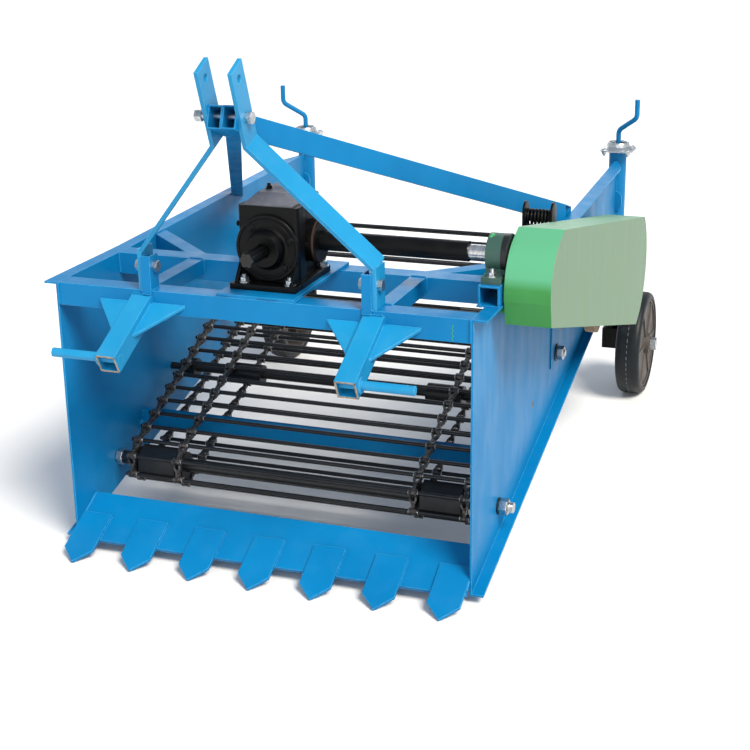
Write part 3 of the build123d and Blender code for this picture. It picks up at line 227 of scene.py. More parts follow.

# %% [markdown]
# The chain cover is bent from thin sheet and painted light green. Its outer face has weak upright
# streaks, which the brush left. Light and shade are painted into the green: its folded band is lighter
# above, a painted highlight, and deeper below, painted shade where it turns away from the sky; the top
# gets a paler painted sheen, and the outer face a greyer tone painted for the light on it. The sheet's
# own normal tells the three faces apart, so no face has to be picked by hand.

# %% Cover paint
def cover_paint():
    material, tree, place = start_material("light_green_sheet_enamel")
    rounded, edges = round_edges(tree, 1.0)
    where = add(tree, "NewGeometry")
    facing = add(tree, "SeparateXYZ", links={"Vector": (where, "Normal")})
    height = add(tree, "SeparateXYZ", links=place)
    # brush streaks, 38 mm wide and ten times as long
    drawn_out = add(tree, "Mapping", sockets={"Scale": (1, 1, 0.10)}, links=place)
    streak_size = {"Scale": per_metre(38), "Detail": 4.0}
    streaks = add(tree, "TexNoise", sockets=streak_size, links={"Vector": (drawn_out, 0)})
    tones = [(0.36, linear("#5D7A62")), (0.50, linear("#638065")), (0.62, linear("#6A8469"))]
    outer = add(tree, "ValToRGB", links={"Fac": (streaks, "Fac")}, stops=tones)
    # the band: clouded deep green below, painted shade, and a lighter green above, a painted highlight
    clouds = add(tree, "TexNoise", sockets={"Scale": per_metre(120), "Detail": 3.0}, links=place)
    tones = [(0.3, linear("#36803F")), (0.7, linear("#408B4B"))]
    low = add(tree, "ValToRGB", links={"Fac": (clouds, "Fac")}, stops=tones)
    reach = {"From Min": 742 * MM, "From Max": 768 * MM}
    split = add(tree, "MapRange", sockets=reach, links={"Value": (height, "Z")})
    sources = {"Factor": (split, "Result"), UNDER: (low, "Color")}
    band = add(tree, "Mix", COLOURS, {OVER: linear("#549F77")}, sources)
    # the top, where the sheet faces up: a paler green, a painted sheen
    reach = {"From Min": 0.93, "From Max": 0.99}
    upward = add(tree, "MapRange", sockets=reach, links={"Value": (facing, "Z")})
    sources = {"Factor": (upward, "Result"), UNDER: (band, MIXED)}
    topped = add(tree, "Mix", COLOURS, {OVER: linear("#7FA68C")}, sources)
    # the outer face, where the sheet faces sideways: brush streaks in a greyer green, painted for the
    # light on this face
    reach = {"From Min": 0.5, "From Max": 0.9}
    sideways = add(tree, "MapRange", sockets=reach, links={"Value": (facing, "X")})
    sources = {"Factor": (sideways, "Result"), UNDER: (topped, MIXED), OVER: (outer, "Color")}
    faces = add(tree, "Mix", COLOURS, links=sources)
    sources = {"Factor": (edges, "Color"), UNDER: (faces, MIXED)}
    chipped = add(tree, "Mix", COLOURS, {OVER: linear("#6FA881")}, sources)
    # shallow dents of a hand's width
    dents = add(tree, "TexNoise", sockets={"Scale": per_metre(90), "Detail": 2.0}, links=place)
    sources = {"Height": (dents, "Fac"), "Normal": (rounded, 0)}
    skin = add(tree, "Bump", sockets={"Distance": 1.1 * MM, "Strength": 0.35}, links=sources)
    dullness = [(0.3, grey(0.38)), (0.7, grey(0.52))]
    gloss = add(tree, "ValToRGB", links={"Fac": (streaks, "Fac")}, stops=dullness)
    sources = {"Base Color": (chipped, MIXED), "Roughness": (gloss, "Color"), "Normal": (skin, 0)}
    shader = add(tree, "BsdfPrincipled", sockets={"Specular IOR Level": 0.25}, links=sources)
    add(tree, "OutputMaterial", links={"Surface": (shader, 0)})
    return material


cover_enamel = cover_paint()
print("cover paint mixed")

# %% [markdown]
# Bare and plated metals. Zinc plate is pale with a faint cloudy bloom, a ground shaft has
# fine rings round it, and the gearbox lid is a plain grey casting. The rods and links of
# the web are dark, oiled steel: smooth where soil has polished it, dull in the corners.
# Oil, grease and casting skin hide the metal, so their metallic value is low.

# %% Metals
def metal(name, light, dark, roughness, spread, grain_mm, depth_mm, stretch=(1, 1, 1), metallic=1.0):
    """A cloudy surface, light and smooth in one place, dark and dull in the next."""
    material, tree, place = start_material(name)
    rounded, edges = round_edges(tree, 0.6)
    stretched = {"Vector": (add(tree, "Mapping", sockets={"Scale": stretch}, links=place), 0)}
    bloom = add(tree, "TexNoise", sockets={"Scale": per_metre(grain_mm), "Detail": 5.0}, links=stretched)
    tones = [(0.34, linear(dark)), (0.68, linear(light))]
    tone = add(tree, "ValToRGB", links={"Fac": (bloom, "Fac")}, stops=tones)
    sources = {"Factor": (edges, "Color"), UNDER: (tone, "Color")}
    bright = add(tree, "Mix", COLOURS, {OVER: linear(light)}, sources)
    dullness = [(0.3, grey(roughness + spread)), (0.7, grey(roughness))]
    gloss = add(tree, "ValToRGB", links={"Fac": (bloom, "Fac")}, stops=dullness)
    fine_size = {"Scale": per_metre(grain_mm / 5), "Detail": 3.0}
    fine = add(tree, "TexNoise", sockets=fine_size, links=stretched)
    sources = {"Height": (fine, "Fac"), "Normal": (rounded, 0)}
    skin = add(tree, "Bump", sockets={"Distance": depth_mm * MM, "Strength": 0.6}, links=sources)
    sources = {"Base Color": (bright, MIXED), "Roughness": (gloss, "Color"), "Normal": (skin, 0)}
    shader = add(tree, "BsdfPrincipled", sockets={"Metallic": metallic}, links=sources)
    add(tree, "OutputMaterial", links={"Surface": (shader, 0)})
    return material


# zinc: bright, slightly cloudy plating on bolts, nuts and flanges
zinc = metal("cloudy_zinc_plate", "#D5D8DA", "#A3A8AC", 0.26, 0.18, grain_mm=6, depth_mm=0.02)
# ground steel: the cross shaft, turned on a lathe, so its grain runs round it
ground_steel = metal("ground_shaft_steel", "#E6E6E4", "#A3A3A4", 0.2, 0.15, grain_mm=9, depth_mm=0.02,
                     stretch=(6, 0.6, 0.6))
# oiled steel: web rods, chains and shafts, dark with a soft sheen
oiled_steel = metal("black_oiled_steel", "#1A1C1F", "#101113", 0.27, 0.14, grain_mm=30, depth_mm=0.04,
                    metallic=0.15)
# link steel: forged chain, a little browner and rougher, with polished high spots
link_steel = metal("forged_link_steel", "#6E6A67", "#2A2826", 0.30, 0.22, grain_mm=7, depth_mm=0.12,
                   metallic=0.8)
# casting: the grey lid, sand-cast and left dull
lid_casting = metal("dull_grey_casting", "#65676F", "#595B64", 0.55, 0.12, grain_mm=18, depth_mm=0.12,
                    metallic=0.1)
# wheel disc: grey-brown cast disc with dry dust in its corners
wheel_casting = metal("dusty_wheel_casting", "#544E4A", "#46413E", 0.55, 0.15, grain_mm=45, depth_mm=0.2,
                      metallic=0.15)
# greased steel: the splined shaft is wet with grease, so its teeth flash in the light
greased_steel = metal("greased_black_steel", "#0B0C0D", "#040405", 0.14, 0.12, grain_mm=7, depth_mm=1.2,
                      metallic=0.0)
print("seven metals mixed")

# %% [markdown]
# The tyres are solid rubber rings: black, with a faint bluish sheen that is painted into their colour.
# Moulded rubber has a fine grain that breaks up the light, and scuffs from the yard make it dull in
# patches.

# %% Rubber
def moulded_rubber():
    material, tree, place = start_material("black_moulded_rubber")
    rounded, _ = round_edges(tree, 1.0)
    scuffs_and_sheen = add(tree, "TexNoise", sockets={"Scale": per_metre(30), "Detail": 6.0}, links=place)
    # the blue in these blacks is a painted sheen, spread in the scuffed patches
    tones = [(0.35, linear("#090D11")), (0.75, linear("#121A22"))]
    tone = add(tree, "ValToRGB", links={"Fac": (scuffs_and_sheen, "Fac")}, stops=tones)
    dullness = [(0.3, grey(0.42)), (0.7, grey(0.6))]
    gloss = add(tree, "ValToRGB", links={"Fac": (scuffs_and_sheen, "Fac")}, stops=dullness)
    grain = add(tree, "TexNoise", sockets={"Scale": per_metre(1.6), "Detail": 2.0}, links=place)
    sources = {"Height": (grain, "Fac"), "Normal": (rounded, 0)}
    skin = add(tree, "Bump", sockets={"Distance": 0.12 * MM, "Strength": 0.5}, links=sources)
    sources = {"Base Color": (tone, "Color"), "Roughness": (gloss, "Color"), "Normal": (skin, 0)}
    shader = add(tree, "BsdfPrincipled", sockets={"Specular IOR Level": 0.3}, links=sources)
    add(tree, "OutputMaterial", links={"Surface": (shader, 0)})
    return material


tyre_rubber = moulded_rubber()
print("rubber mixed")

# %% [markdown]
# The machine stands on a plain pale floor, a matt board with hardly any tone of its own.
# Its far edge lies at the horizon, where the white surrounding takes over, so no line
# shows between them.

# %% Floor
floor_half = 60.0
floor_mesh = bpy.data.meshes.new("floor")
corners = [(-floor_half, -floor_half, 0), (floor_half, -floor_half, 0)]
corners += [(floor_half, floor_half, 0), (-floor_half, floor_half, 0)]
floor_mesh.from_pydata(corners, [], [(0, 1, 2, 3)])
floor = bpy.data.objects.new("floor", floor_mesh)
scene.collection.objects.link(floor)
floor_material, tree, place = start_material("matt_studio_floor")
patches = add(tree, "TexNoise", sockets={"Scale": per_metre(900), "Detail": 3.0}, links=place)
tones = [(0.3, linear("#E4E4E4")), (0.7, linear("#E8E8E8"))]
tone = add(tree, "ValToRGB", links={"Fac": (patches, "Fac")}, stops=tones)
matt = {"Roughness": 0.95, "Specular IOR Level": 0.1}
shader = add(tree, "BsdfPrincipled", sockets=matt, links={"Base Color": (tone, "Color")})
add(tree, "OutputMaterial", links={"Surface": (shader, 0)})
floor_mesh.materials.append(floor_material)
print("floor", 2 * floor_half, "m wide")

# %% [markdown]
# Soft studio light. The key light is a sun lamp with a wide angle, high on the right: it
# lights the whole floor evenly and its shadows stay soft. The surrounding is white all
# round and dimmer overhead, so that upright faces are filled evenly, and two weak panels
# in front and behind lift the dark sides a little.

# %% Lights
world = bpy.data.worlds.new("studio")
scene.world = world
world.use_nodes = True
sky = world.node_tree
direction = add(sky, "TexCoord")
height = add(sky, "SeparateXYZ", links={"Vector": (direction, "Generated")})
tones = [(0.06, linear("#FFFFFF")), (0.50, linear("#A6B1C0"))]
dome = add(sky, "ValToRGB", links={"Fac": (height, "Z")}, stops=tones)
sky.links.new(dome.outputs["Color"], sky.nodes["Background"].inputs["Color"])


def hang_lamp(name, kind, source, target, energy):
    """A lamp of the scene that shines from source towards target."""
    lamp = bpy.data.objects.new(name, bpy.data.lights.new(name, kind))
    scene.collection.objects.link(lamp)
    lamp.location = source
    lamp.rotation_euler = (Vector(target) - Vector(source)).to_track_quat("-Z", "Y").to_euler()
    lamp.data.energy = energy
    return lamp


key = hang_lamp("key_light", "SUN", (2.9, -2.1, 4.4), (0, 0, 0.4), 4.4)
key.data.color = linear("#FFF8EC")[:3]
key.data.angle = radians(24)
for name, source, width, watts in (
    ("front_panel", (1.0, -5.0, 2.4), 2.4, 35),
    ("rear_panel", (-1.5, 4.5, 3.0), 2.6, 40),
):
    panel = hang_lamp(name, "AREA", source, (0, 0, 0.5), watts)
    panel.data.shape = "SQUARE"
    panel.data.size = width

# %% [markdown]
# Most of the frame needs no new shape, only its finish. The record names a finish for every node, and
# each of those names gets one of the materials above. A few nodes get a material of their own after
# that: the shaft guard, the tensioner and the wheel legs are painted black, the splined shaft is
# greased, and the mast legs, hitch arms and pins get a lighter copy of the blue, a painted reflection of
# the sky.

# %% Finishes for the frame
finish = {
    "blue_paint": blue_enamel,
    "cover_green_paint": cover_enamel,
    "bearing_green_paint": bearing_enamel,
    "gearbox_black_paint": black_enamel,
    "black_steel": oiled_steel,
    "grey_casting": lid_casting,
    "bright_steel": ground_steel,
    "zinc_plate": zinc,
    "tyre_rubber": tyre_rubber,
    "wheel_grey": wheel_casting,
    "tan_paint": tan_varnish,
}
slot_of = {part["node"]: part["material_slot"] for part in frame["record"]["subparts"]}
own_and_sky_lit_finishes = {
    ("mast_leg", "lower_arm", "hitch_pin"): sky_lit_enamel,
    ("shaft_guard", "spring_tensioner", "wheel_leg"): black_enamel,
    ("input_shaft",): greased_steel,
}
for name, node in nodes.items():
    node.data.materials.clear()
    node.data.materials.append(finish[slot_of[name]])
    for starts, material in own_and_sky_lit_finishes.items():
        if name.startswith(starts):
            node.data.materials[0] = material
print("finished", len(nodes), "nodes")

# %% [markdown]
# The small pieces are drawn in millimetres, in the machine's own places: sideways from its
# middle, back from the side plates' front edge, and up from the floor. When a form is
# finished, one function closes it into an object, shades it smooth up to its real
# corners, and lets it ride on a body of the frame.

# %% Places and pieces
plates_front = -787.384


def at(sideways, back, height):
    return Vector((sideways, back + plates_front, height)) * MM


def piece(name, form, material, body="frame", stands_for=()):
    """Close a form into an object that rides on a body of the frame."""
    bmesh.ops.recalc_face_normals(form, faces=form.faces)
    mesh = bpy.data.meshes.new(name)
    form.to_mesh(mesh)
    form.free()
    mesh.materials.append(material)
    mesh.polygons.foreach_set("use_smooth", [True] * len(mesh.polygons))
    mesh.set_sharp_from_angle(angle=radians(32))
    made = bpy.data.objects.new(name, mesh)
    scene.collection.objects.link(made)
    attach(made, body)
    if stands_for:
        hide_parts(*stands_for)
    print(name, len(mesh.polygons), "faces")


print("plates' front edge at", plates_front, "mm")

# %% [markdown]
# Round things are turned from a profile, like on a lathe: each step of the profile gives a
# ring of points, and neighbouring rings are joined with faces. A lathe with six sides
# makes a hexagon, so nuts and bolt heads come from the same function.

# %% Lathe
def across(axis):
    """Two directions square to an axis."""
    axis = axis.normalized()
    first = X_AXIS if abs(axis.x) < 0.9 else Y_AXIS
    first = (first - axis * first.dot(axis)).normalized()
    return first, axis.cross(first)


def join_rings(form, rings, ends=True):
    for near, far in zip(rings, rings[1:]):
        count = len(near)
        for i in range(count):
            form.faces.new((near[i], near[(i + 1) % count], far[(i + 1) % count], far[i]))
    if ends:
        form.faces.new(list(reversed(rings[0])))
        form.faces.new(rings[-1])


def turned(form, start, axis, profile, sides=24, turn=0.0):
    """Lathe work: profile is a list of (along, radius) in mm."""
    axis = Vector(axis).normalized()
    u, v = across(axis)
    rings = []
    for along, radius in profile:
        ring = []
        for i in range(sides):
            angle = 2 * pi * i / sides + radians(turn)
            spot = start + (axis * along + (u * cos(angle) + v * sin(angle)) * radius) * MM
            ring.append(form.verts.new(spot))
        rings.append(ring)
    join_rings(form, rings)


print("lathe ready")

# %% [markdown]
# The web is the heart of the machine: steel rods across four chains, running in a loop
# from the idler behind the share up to the drive shaft. Its path is two circles and their
# outer tangents. A function turns a distance along the loop into a place, so that rods
# and links can be set one after the other as on the real chain.

# %% The web's path
rod_pitch = 54.0
idler_teeth, drive_teeth = 6, 8
idler_at = (227.0, 156.0)
drive_at = (1180.0, 528.0)
first_rod_turn = 150.0
idler_pitch = idler_teeth * rod_pitch / (2 * pi)
drive_pitch = drive_teeth * rod_pitch / (2 * pi)
run_back, run_up = drive_at[0] - idler_at[0], drive_at[1] - idler_at[1]
axle_gap = hypot(run_back, run_up)
web_turn = atan2(run_up, run_back)
wrap = acos((idler_pitch - drive_pitch) / axle_gap)
web_span = sqrt(axle_gap ** 2 - (drive_pitch - idler_pitch) ** 2)
rear_arc = 2 * wrap * drive_pitch
front_arc = (2 * pi - 2 * wrap) * idler_pitch
loop_length = 2 * web_span + rear_arc + front_arc
rod_count = round(loop_length / rod_pitch)
rod_step = loop_length / rod_count
first_rod = (web_turn + wrap - radians(first_rod_turn)) * idler_pitch


def on_web(distance):
    """Place (back, height) on the loop's centre line."""
    distance = distance % loop_length
    if distance < web_span:
        share, turn = distance / web_span, web_turn + wrap
    elif distance < web_span + rear_arc:
        share, turn = 1.0, web_turn + wrap - (distance - web_span) / drive_pitch
    elif distance < 2 * web_span + rear_arc:
        share, turn = 1 - (distance - web_span - rear_arc) / web_span, web_turn - wrap
    else:
        share, turn = 0.0, web_turn - wrap - (distance - 2 * web_span - rear_arc) / idler_pitch
    radius = idler_pitch + share * (drive_pitch - idler_pitch)
    back = idler_at[0] + share * run_back + radius * cos(turn)
    return back, idler_at[1] + share * run_up + radius * sin(turn)


joints = [on_web(first_rod + number * rod_step) for number in range(rod_count)]
print("web:", rod_count, "rods,", round(rod_step, 1), "mm apart")

# %% [markdown]
# Each rod is round bar, polished on top by sand and soil. Its ends stand out past the
# outer chains. In the frame they are eight-sided to save faces; here they are turned
# round, with the small chamfer that the saw leaves on each end.

# %% Web rods
rod_half = 478.0
rod_radius = 5.5
rod_profile = [(0, 4.2), (1.5, rod_radius), (2 * rod_half - 1.5, rod_radius), (2 * rod_half, 4.2)]
rods = bmesh.new()
for number, (back, height) in enumerate(joints):
    sag = 0.12 * sin(number * 1.7)
    turned(rods, at(-rod_half, back, height + sag), X_AXIS, rod_profile, 20)
piece("rods_of_the_web", rods, oiled_steel, stands_for=("web_rods",))

# %% [markdown]
# The chains are made of forged links. One end of a link is a single barrel, the other a
# fork with two eyes, and a pin through fork and barrel carries the rod. One link is drawn
# between two neighbouring joints and repeated along the loop, four strands side by side.
# Its arms are flat bars that bend, so a section is drawn along a path of points.

# %% Link chains
def bar(form, points, wide, tall, side, sides=12):
    """A section drawn along points (in metres); wide lies along side, tall across it."""
    rings = []
    for i, point in enumerate(points):
        before = points[max(i - 1, 0)]
        after = points[min(i + 1, len(points) - 1)]
        ahead = (after - before).normalized()
        u = (Vector(side) - ahead * ahead.dot(Vector(side))).normalized()
        v = ahead.cross(u)
        ring = []
        for k in range(sides):
            angle = 2 * pi * (k + 0.5) / sides
            spread = 1 / max(abs(cos(angle)), abs(sin(angle))) if sides == 4 else 1
            reach = (u * cos(angle) * wide + v * sin(angle) * tall) * spread * MM / 2
            ring.append(form.verts.new(point + reach))
        rings.append(ring)
    join_rings(form, rings)


strands = (-458.0, -325.0, 325.0, 458.0)
fork_half = 7.8
barrel = [(0, 8.4), (1, 9.4), (8.6, 9.4), (9.6, 8.4)]
eye = [(0, 10), (4.6, 10), (5.8, 9)]
pin_head = [(0, 6.6), (1.8, 6.6), (2.6, 5.2)]
links = bmesh.new()
pins = bmesh.new()
for strand in strands:
    for number in range(rod_count):
        start, end = at(strand, *joints[number]), at(strand, *joints[(number + 1) % rod_count])
        ahead = (end - start).normalized()
        length = (end - start).length
        turned(links, start - X_AXIS * barrel[-1][0] / 2 * MM, X_AXIS, barrel, 14)
        bar(links, [start + ahead * 5 * MM, start + ahead * 0.58 * length], 9, 11.5, X_AXIS, 4)
        for side in (-1, 1):
            outward = X_AXIS * side
            elbow = [start + ahead * 0.46 * length + outward * 2.2 * MM]
            elbow.append(start + ahead * 0.68 * length + outward * fork_half * MM)
            elbow.append(end + outward * fork_half * MM)
            bar(links, elbow, 5, 11, X_AXIS, 4)
            turned(links, end + outward * 5.2 * MM, outward, eye, 14)
            turned(pins, end + outward * 11 * MM, outward, pin_head, 12)
piece("links_of_the_web", links, link_steel, stands_for=("web_chains",))
piece("pins_of_the_web", pins, zinc)

# %% [markdown]
# The idler shaft is held by big hexagon nuts on the side plates. They are zinc plated, so
# they shine against the blue, and the thread that stands out of them is bare. A smaller
# ring at each end gives the nut its chamfer.

# %% Nuts on the idler shaft
def hexagon_nut(form, start, axis, flats, thick, turn=0.0):
    corner = flats / sqrt(3)
    profile = [(0, corner * 0.93), (thick * 0.1, corner), (thick * 0.88, corner), (thick, corner * 0.9)]
    turned(form, start, axis, profile, 6, turn)


def thread(form, start, axis, radius, length, step=2.0):
    profile = []
    turns = int(length / step)
    for i in range(turns):
        profile += [(i * step, radius * 0.92), (i * step + step / 2, radius)]
    profile += [(turns * step, radius * 0.92), (length, radius * 0.85)]
    turned(form, start, axis, profile, 20)


plate_face = 530.0
idler_flats = 37.2
washer_profile = [(0, 21.4), (3.6, 21.4), (4.2, 20.6)]
nuts = bmesh.new()
ends = bmesh.new()
# the black washers under the outer nuts also stand for the nuts' shadow on the plates: a painted shadow
shadow_washers = bmesh.new()
for side in (-1, 1):
    outward = X_AXIS * side
    turned(shadow_washers, at(side * (plate_face + 0.2), *idler_at), outward, washer_profile, 40)
    hexagon_nut(nuts, at(side * (plate_face + 4.2), *idler_at), outward, idler_flats, 22.4)
    thread(ends, at(side * (plate_face + 26), *idler_at), outward, 13.3, 14.2)
    hexagon_nut(nuts, at(side * (plate_face - 5.1), *idler_at), -outward, idler_flats, 19.4)
piece("idler_nuts", nuts, zinc)
piece("idler_shadow_washers", shadow_washers, oiled_steel)
piece("idler_threads", ends, ground_steel)

# %% [markdown]
# The tyre is a ring of solid rubber pressed on the rim. The mould leaves round shoulders,
# a thin raised parting line round the middle and a shallow step where the rubber meets
# the rim. It is one profile turned about the axle, closed on itself so the rim stays open.

# %% Tyres
def ring(form, centre, axis, profile, sides):
    """A turned ring: the profile's ends are joined, so the middle stays open."""
    axis = Vector(axis).normalized()
    u, v = across(axis)
    rounds = []
    for i in range(sides):
        angle = 2 * pi * i / sides
        away = u * cos(angle) + v * sin(angle)
        spots = [centre + (axis * along + away * radius) * MM for along, radius in profile]
        rounds.append([form.verts.new(spot) for spot in spots])
    join_rings(form, rounds + [rounds[0]], ends=False)


wheel_back, wheel_high = 1602.0, 165.0
tyre_radius = 165.0
tyre_inner, tyre_wide = 572.0, 76.0
# one shoulder, from the rim to the parting line; the other is its mirror image
shoulder = [(0, 142.2), (0, 152), (2.2, 158), (6.5, 162.2), (13, 164.4), (22, tyre_radius)]
tyre_profile = shoulder + [(36.8, tyre_radius), (37.4, 165.6), (38.6, 165.6), (39.2, tyre_radius)]
tyre_profile += [(tyre_wide - along, radius) for along, radius in reversed(shoulder)]
for side, name in ((-1, "left"), (1, "right")):
    tyre = bmesh.new()
    ring(tyre, at(side * tyre_inner, wheel_back, wheel_high), X_AXIS * side, tyre_profile, 120)
    piece("tread_" + name, tyre, tyre_rubber, "roller_" + name, ("tyre_" + name,))

# %% [markdown]
# The spring tensioner pulls the drive chain tight. Two flat uprights with round tops stand
# on the side plate, a rod runs through them, and a coil spring sits on the rod between
# two plates. Flat things are an outline with a thickness, and their edges are rounded off.
# The coil is a round wire along a helix; a torus for each turn would look like a stack.

# %% Spring tensioner
def slab(form, outline, origin, u, v, thick, round_off=0.0):
    """A flat outline (u, v in mm) from origin, thick along u x v, with its edges rounded off."""
    u, v = Vector(u).normalized(), Vector(v).normalized()
    deep = u.cross(v).normalized() * thick * MM
    near = [form.verts.new(origin + (u * a + v * b) * MM) for a, b in outline]
    far = [form.verts.new(vert.co + deep) for vert in near]
    before = set(form.edges)
    join_rings(form, [near, far])
    if round_off:
        fresh = [edge for edge in form.edges if edge not in before]
        bmesh.ops.bevel(form, geom=fresh, offset=round_off * MM, segments=2, profile=0.7, affect="EDGES")


def block(form, low, high, round_off=0.0):
    """A box between two places."""
    wide, deep, tall = (high - low) / MM
    slab(form, [(0, 0), (wide, 0), (wide, deep), (0, deep)], low, X_AXIS, Y_AXIS, tall, round_off)


upright_half = 25.0
spring_back, spring_floor = 600.0, 711.8
spring_rod = spring_floor + 84
coil_start, coil_length, coil_radius = 496.5, 59.0, 20.8
turns, steps = 6.5, 20
upright = [(-upright_half, 0), (upright_half, 0)]
for i in range(15):
    angle = pi * i / 14
    upright.append((upright_half * cos(angle), 101 + upright_half * sin(angle)))
spring = bmesh.new()
for sideways in (487.2, 558.8):
    slab(spring, upright, at(sideways, spring_back, spring_floor), Y_AXIS, Z_AXIS, 6, 0.8)
foot_low = at(487, spring_back - upright_half, spring_floor - 5)
foot_high = at(565, spring_back + upright_half, spring_floor + 6)
block(spring, foot_low, foot_high, 0.8)
turned(spring, at(487, spring_back, spring_rod), X_AXIS, [(0, 9.6), (78, 9.6)], 20)
wire = []
for i in range(int(turns * steps) + 1):
    angle = 2 * pi * i / steps
    sideways = coil_start + coil_length * i / (turns * steps)
    away = (Y_AXIS * cos(angle) + Z_AXIS * sin(angle)) * coil_radius * MM
    wire.append(at(sideways, spring_back, spring_rod) + away)
bar(spring, wire, 6.4, 6.4, X_AXIS, 10)
for sideways in (493.2, 556.0):
    turned(spring, at(sideways, spring_back, spring_rod), X_AXIS, [(0, 22), (2.6, 22)], 28)
piece("coil_tensioner", spring, black_enamel, stands_for=("spring_tensioner",))

# %% [markdown]
# The gearbox is a black painted casting. Its foot reaches forward under two bolts, and a
# round bearing cover is bolted on its face, with a raised rim and a seal round the splined
# shaft. All of these are turned or cut shapes laid on the casting of the frame.

# %% Gearbox casting details
shaft_high = 803.0
gearbox_face = 90.0
foot_low, foot_top = 708.0, 722.0
casting = bmesh.new()
block(casting, at(-84, 46, foot_low), at(84, 84, foot_top), 2.0)
cover_profile = [(0, 80), (7, 80), (9, 78.5), (9, 73), (6.5, 71), (6.5, 56), (9, 50), (11, 47), (31, 41)]
cover_profile += [(34, 38), (34, 30), (31.5, 28), (31.5, 20)]
turned(casting, at(0, gearbox_face, shaft_high), -Y_AXIS, cover_profile, 64)
bolt_circle = 62.0
for angle in (20, 132, 205, 318):
    sideways, up = bolt_circle * cos(radians(angle)), bolt_circle * sin(radians(angle))
    spot = at(sideways, gearbox_face - 6.2, shaft_high + up)
    turned(casting, spot, -Y_AXIS, [(0, 10.5), (3, 10.5), (3.6, 9)], 24)
    hexagon_nut(casting, spot - Y_AXIS * 3 * MM, -Y_AXIS, 13, 7, angle)
turned(casting, at(-77, 100, 855), -X_AXIS, [(0, 7), (5, 7), (6, 5)], 6)
for sideways in (-70, 70):
    web_origin = at(sideways - 4, 84, foot_top)
    slab(casting, [(0, 0), (34, 0), (0, 46)], web_origin, -Y_AXIS, Z_AXIS, -8, 1.2)
piece("gearbox_casting_details", casting, black_enamel)

# %% [markdown]
# The lid is a low pyramid with a flat top, cast in grey and never painted. A black breather
# plug is screwed into it. It takes the place of the plain lid of the frame.

# %% Gearbox lid
lid = bmesh.new()
# height, half width, front and rear edge of each level
levels = [(901, 61, 94, 262), (905, 61, 94, 262), (927, 38, 121, 237), (929, 36, 123, 235)]
rings = []
for height, half, ahead, behind in levels:
    spots = [(-half, ahead), (half, ahead), (half, behind), (-half, behind)]
    rings.append([lid.verts.new(at(sideways, back, height)) for sideways, back in spots])
join_rings(lid, rings)
piece("cast_lid", lid, lid_casting, stands_for=("gearbox_lid",))
plug_place = (-24, 160)
plug = bmesh.new()
turned(plug, at(*plug_place, 928.5), Z_AXIS, [(0, 8.5), (2, 8.5), (2.2, 6.5)], 24)
hexagon_nut(plug, at(*plug_place, 930.5), Z_AXIS, 13, 6, 10)
turned(plug, at(*plug_place, 936.5), Z_AXIS, [(0, 4.5), (5, 4.5), (6.5, 3)], 16)
piece("breather_plug", plug, black_enamel)

# %% [markdown]
# Behind the side boss a band of brown primer shows where the black paint stopped. It is
# only a thin ring, but the eye finds it at once between two black parts.

# %% Primer band
primer = enamel("brown_red_primer", colour="#3F2A22", deep="#33221C", edge="#4E3A30",
                dust="#7A6A60", dust_amount=0.3, roughness=0.7, coat=0.0, gloss_level=0.2)
drive_line = 195.0
band = bmesh.new()
band_profile = [(0, 51), (0, 52.5), (5, 52.5), (5, 51)]
ring(band, at(86, drive_line, shaft_high), X_AXIS, band_profile, 64)
piece("primer_band", band, primer)

# %% [markdown]
# Zinc plated bolts hold the gearbox, the bearing, the screw jacks and the web's shafts.
# Each is a washer, a hexagon with chamfered corners and the end of a thread, the same
# three turned shapes at every place, so one function makes them all.

# %% Zinc bolts
def bolt(form, start, axis, flats, thick, stub, turn=0.0, washer=1.0):
    """Washer, hexagon and bare thread, one after the other along the axis."""
    axis = Vector(axis).normalized()
    corner = flats / sqrt(3)
    if washer:
        rim = [(0, corner * 1.22), (washer * 2, corner * 1.22), (washer * 2.4, corner * 1.16)]
        turned(form, start, axis, rim, 28)
    hexagon_nut(form, start + axis * washer * 2 * MM, axis, flats, thick, turn)
    if stub:
        thread(form, start + axis * (washer * 2 + thick) * MM, axis, flats * 0.3, stub)


bolts = bmesh.new()
for sideways, back in ((-54, 66), (62, 67), (-72, 252), (72, 252)):
    bolt(bolts, at(sideways, back, foot_top), Z_AXIS, 20, 11, 6, sideways, 1.4)
bearing_foot_top = 766.0
for back in (128, 262):
    bolt(bolts, at(535, back, bearing_foot_top), Z_AXIS, 18, 9, 8, back)
roller_bolt = (812, 370)
bolt(bolts, at(plate_face + 4, *roller_bolt), X_AXIS, 34, 18, 4, 12, 0)
bracket_bolt = (1236, 655)
bolt(bolts, at(-525, *bracket_bolt), X_AXIS, 24, 12, 0, 5)
bolt(bolts, at(-510, *bracket_bolt), X_AXIS, 20, 10, 8, 25, 0)
piece("zinc_bolts", bolts, zinc)
# a black washer under the roller bolt's nut, dark as the nut's shadow on the plate: a painted shadow
shadow = bmesh.new()
turned(shadow, at(plate_face, *roller_bolt), X_AXIS, [(0, 24.5), (3.4, 24.5), (4, 23.5)], 36)
piece("roller_bolt_shadow_washer", shadow, oiled_steel)

# %% [markdown]
# The pedestal bearing is a cast housing with a ball bearing in it. The steel ring of that
# bearing stands out on the chain's side. A dab of bright green paint on top shows that it
# has been greased and checked, and the same brush left a wavy mark on the front beam.

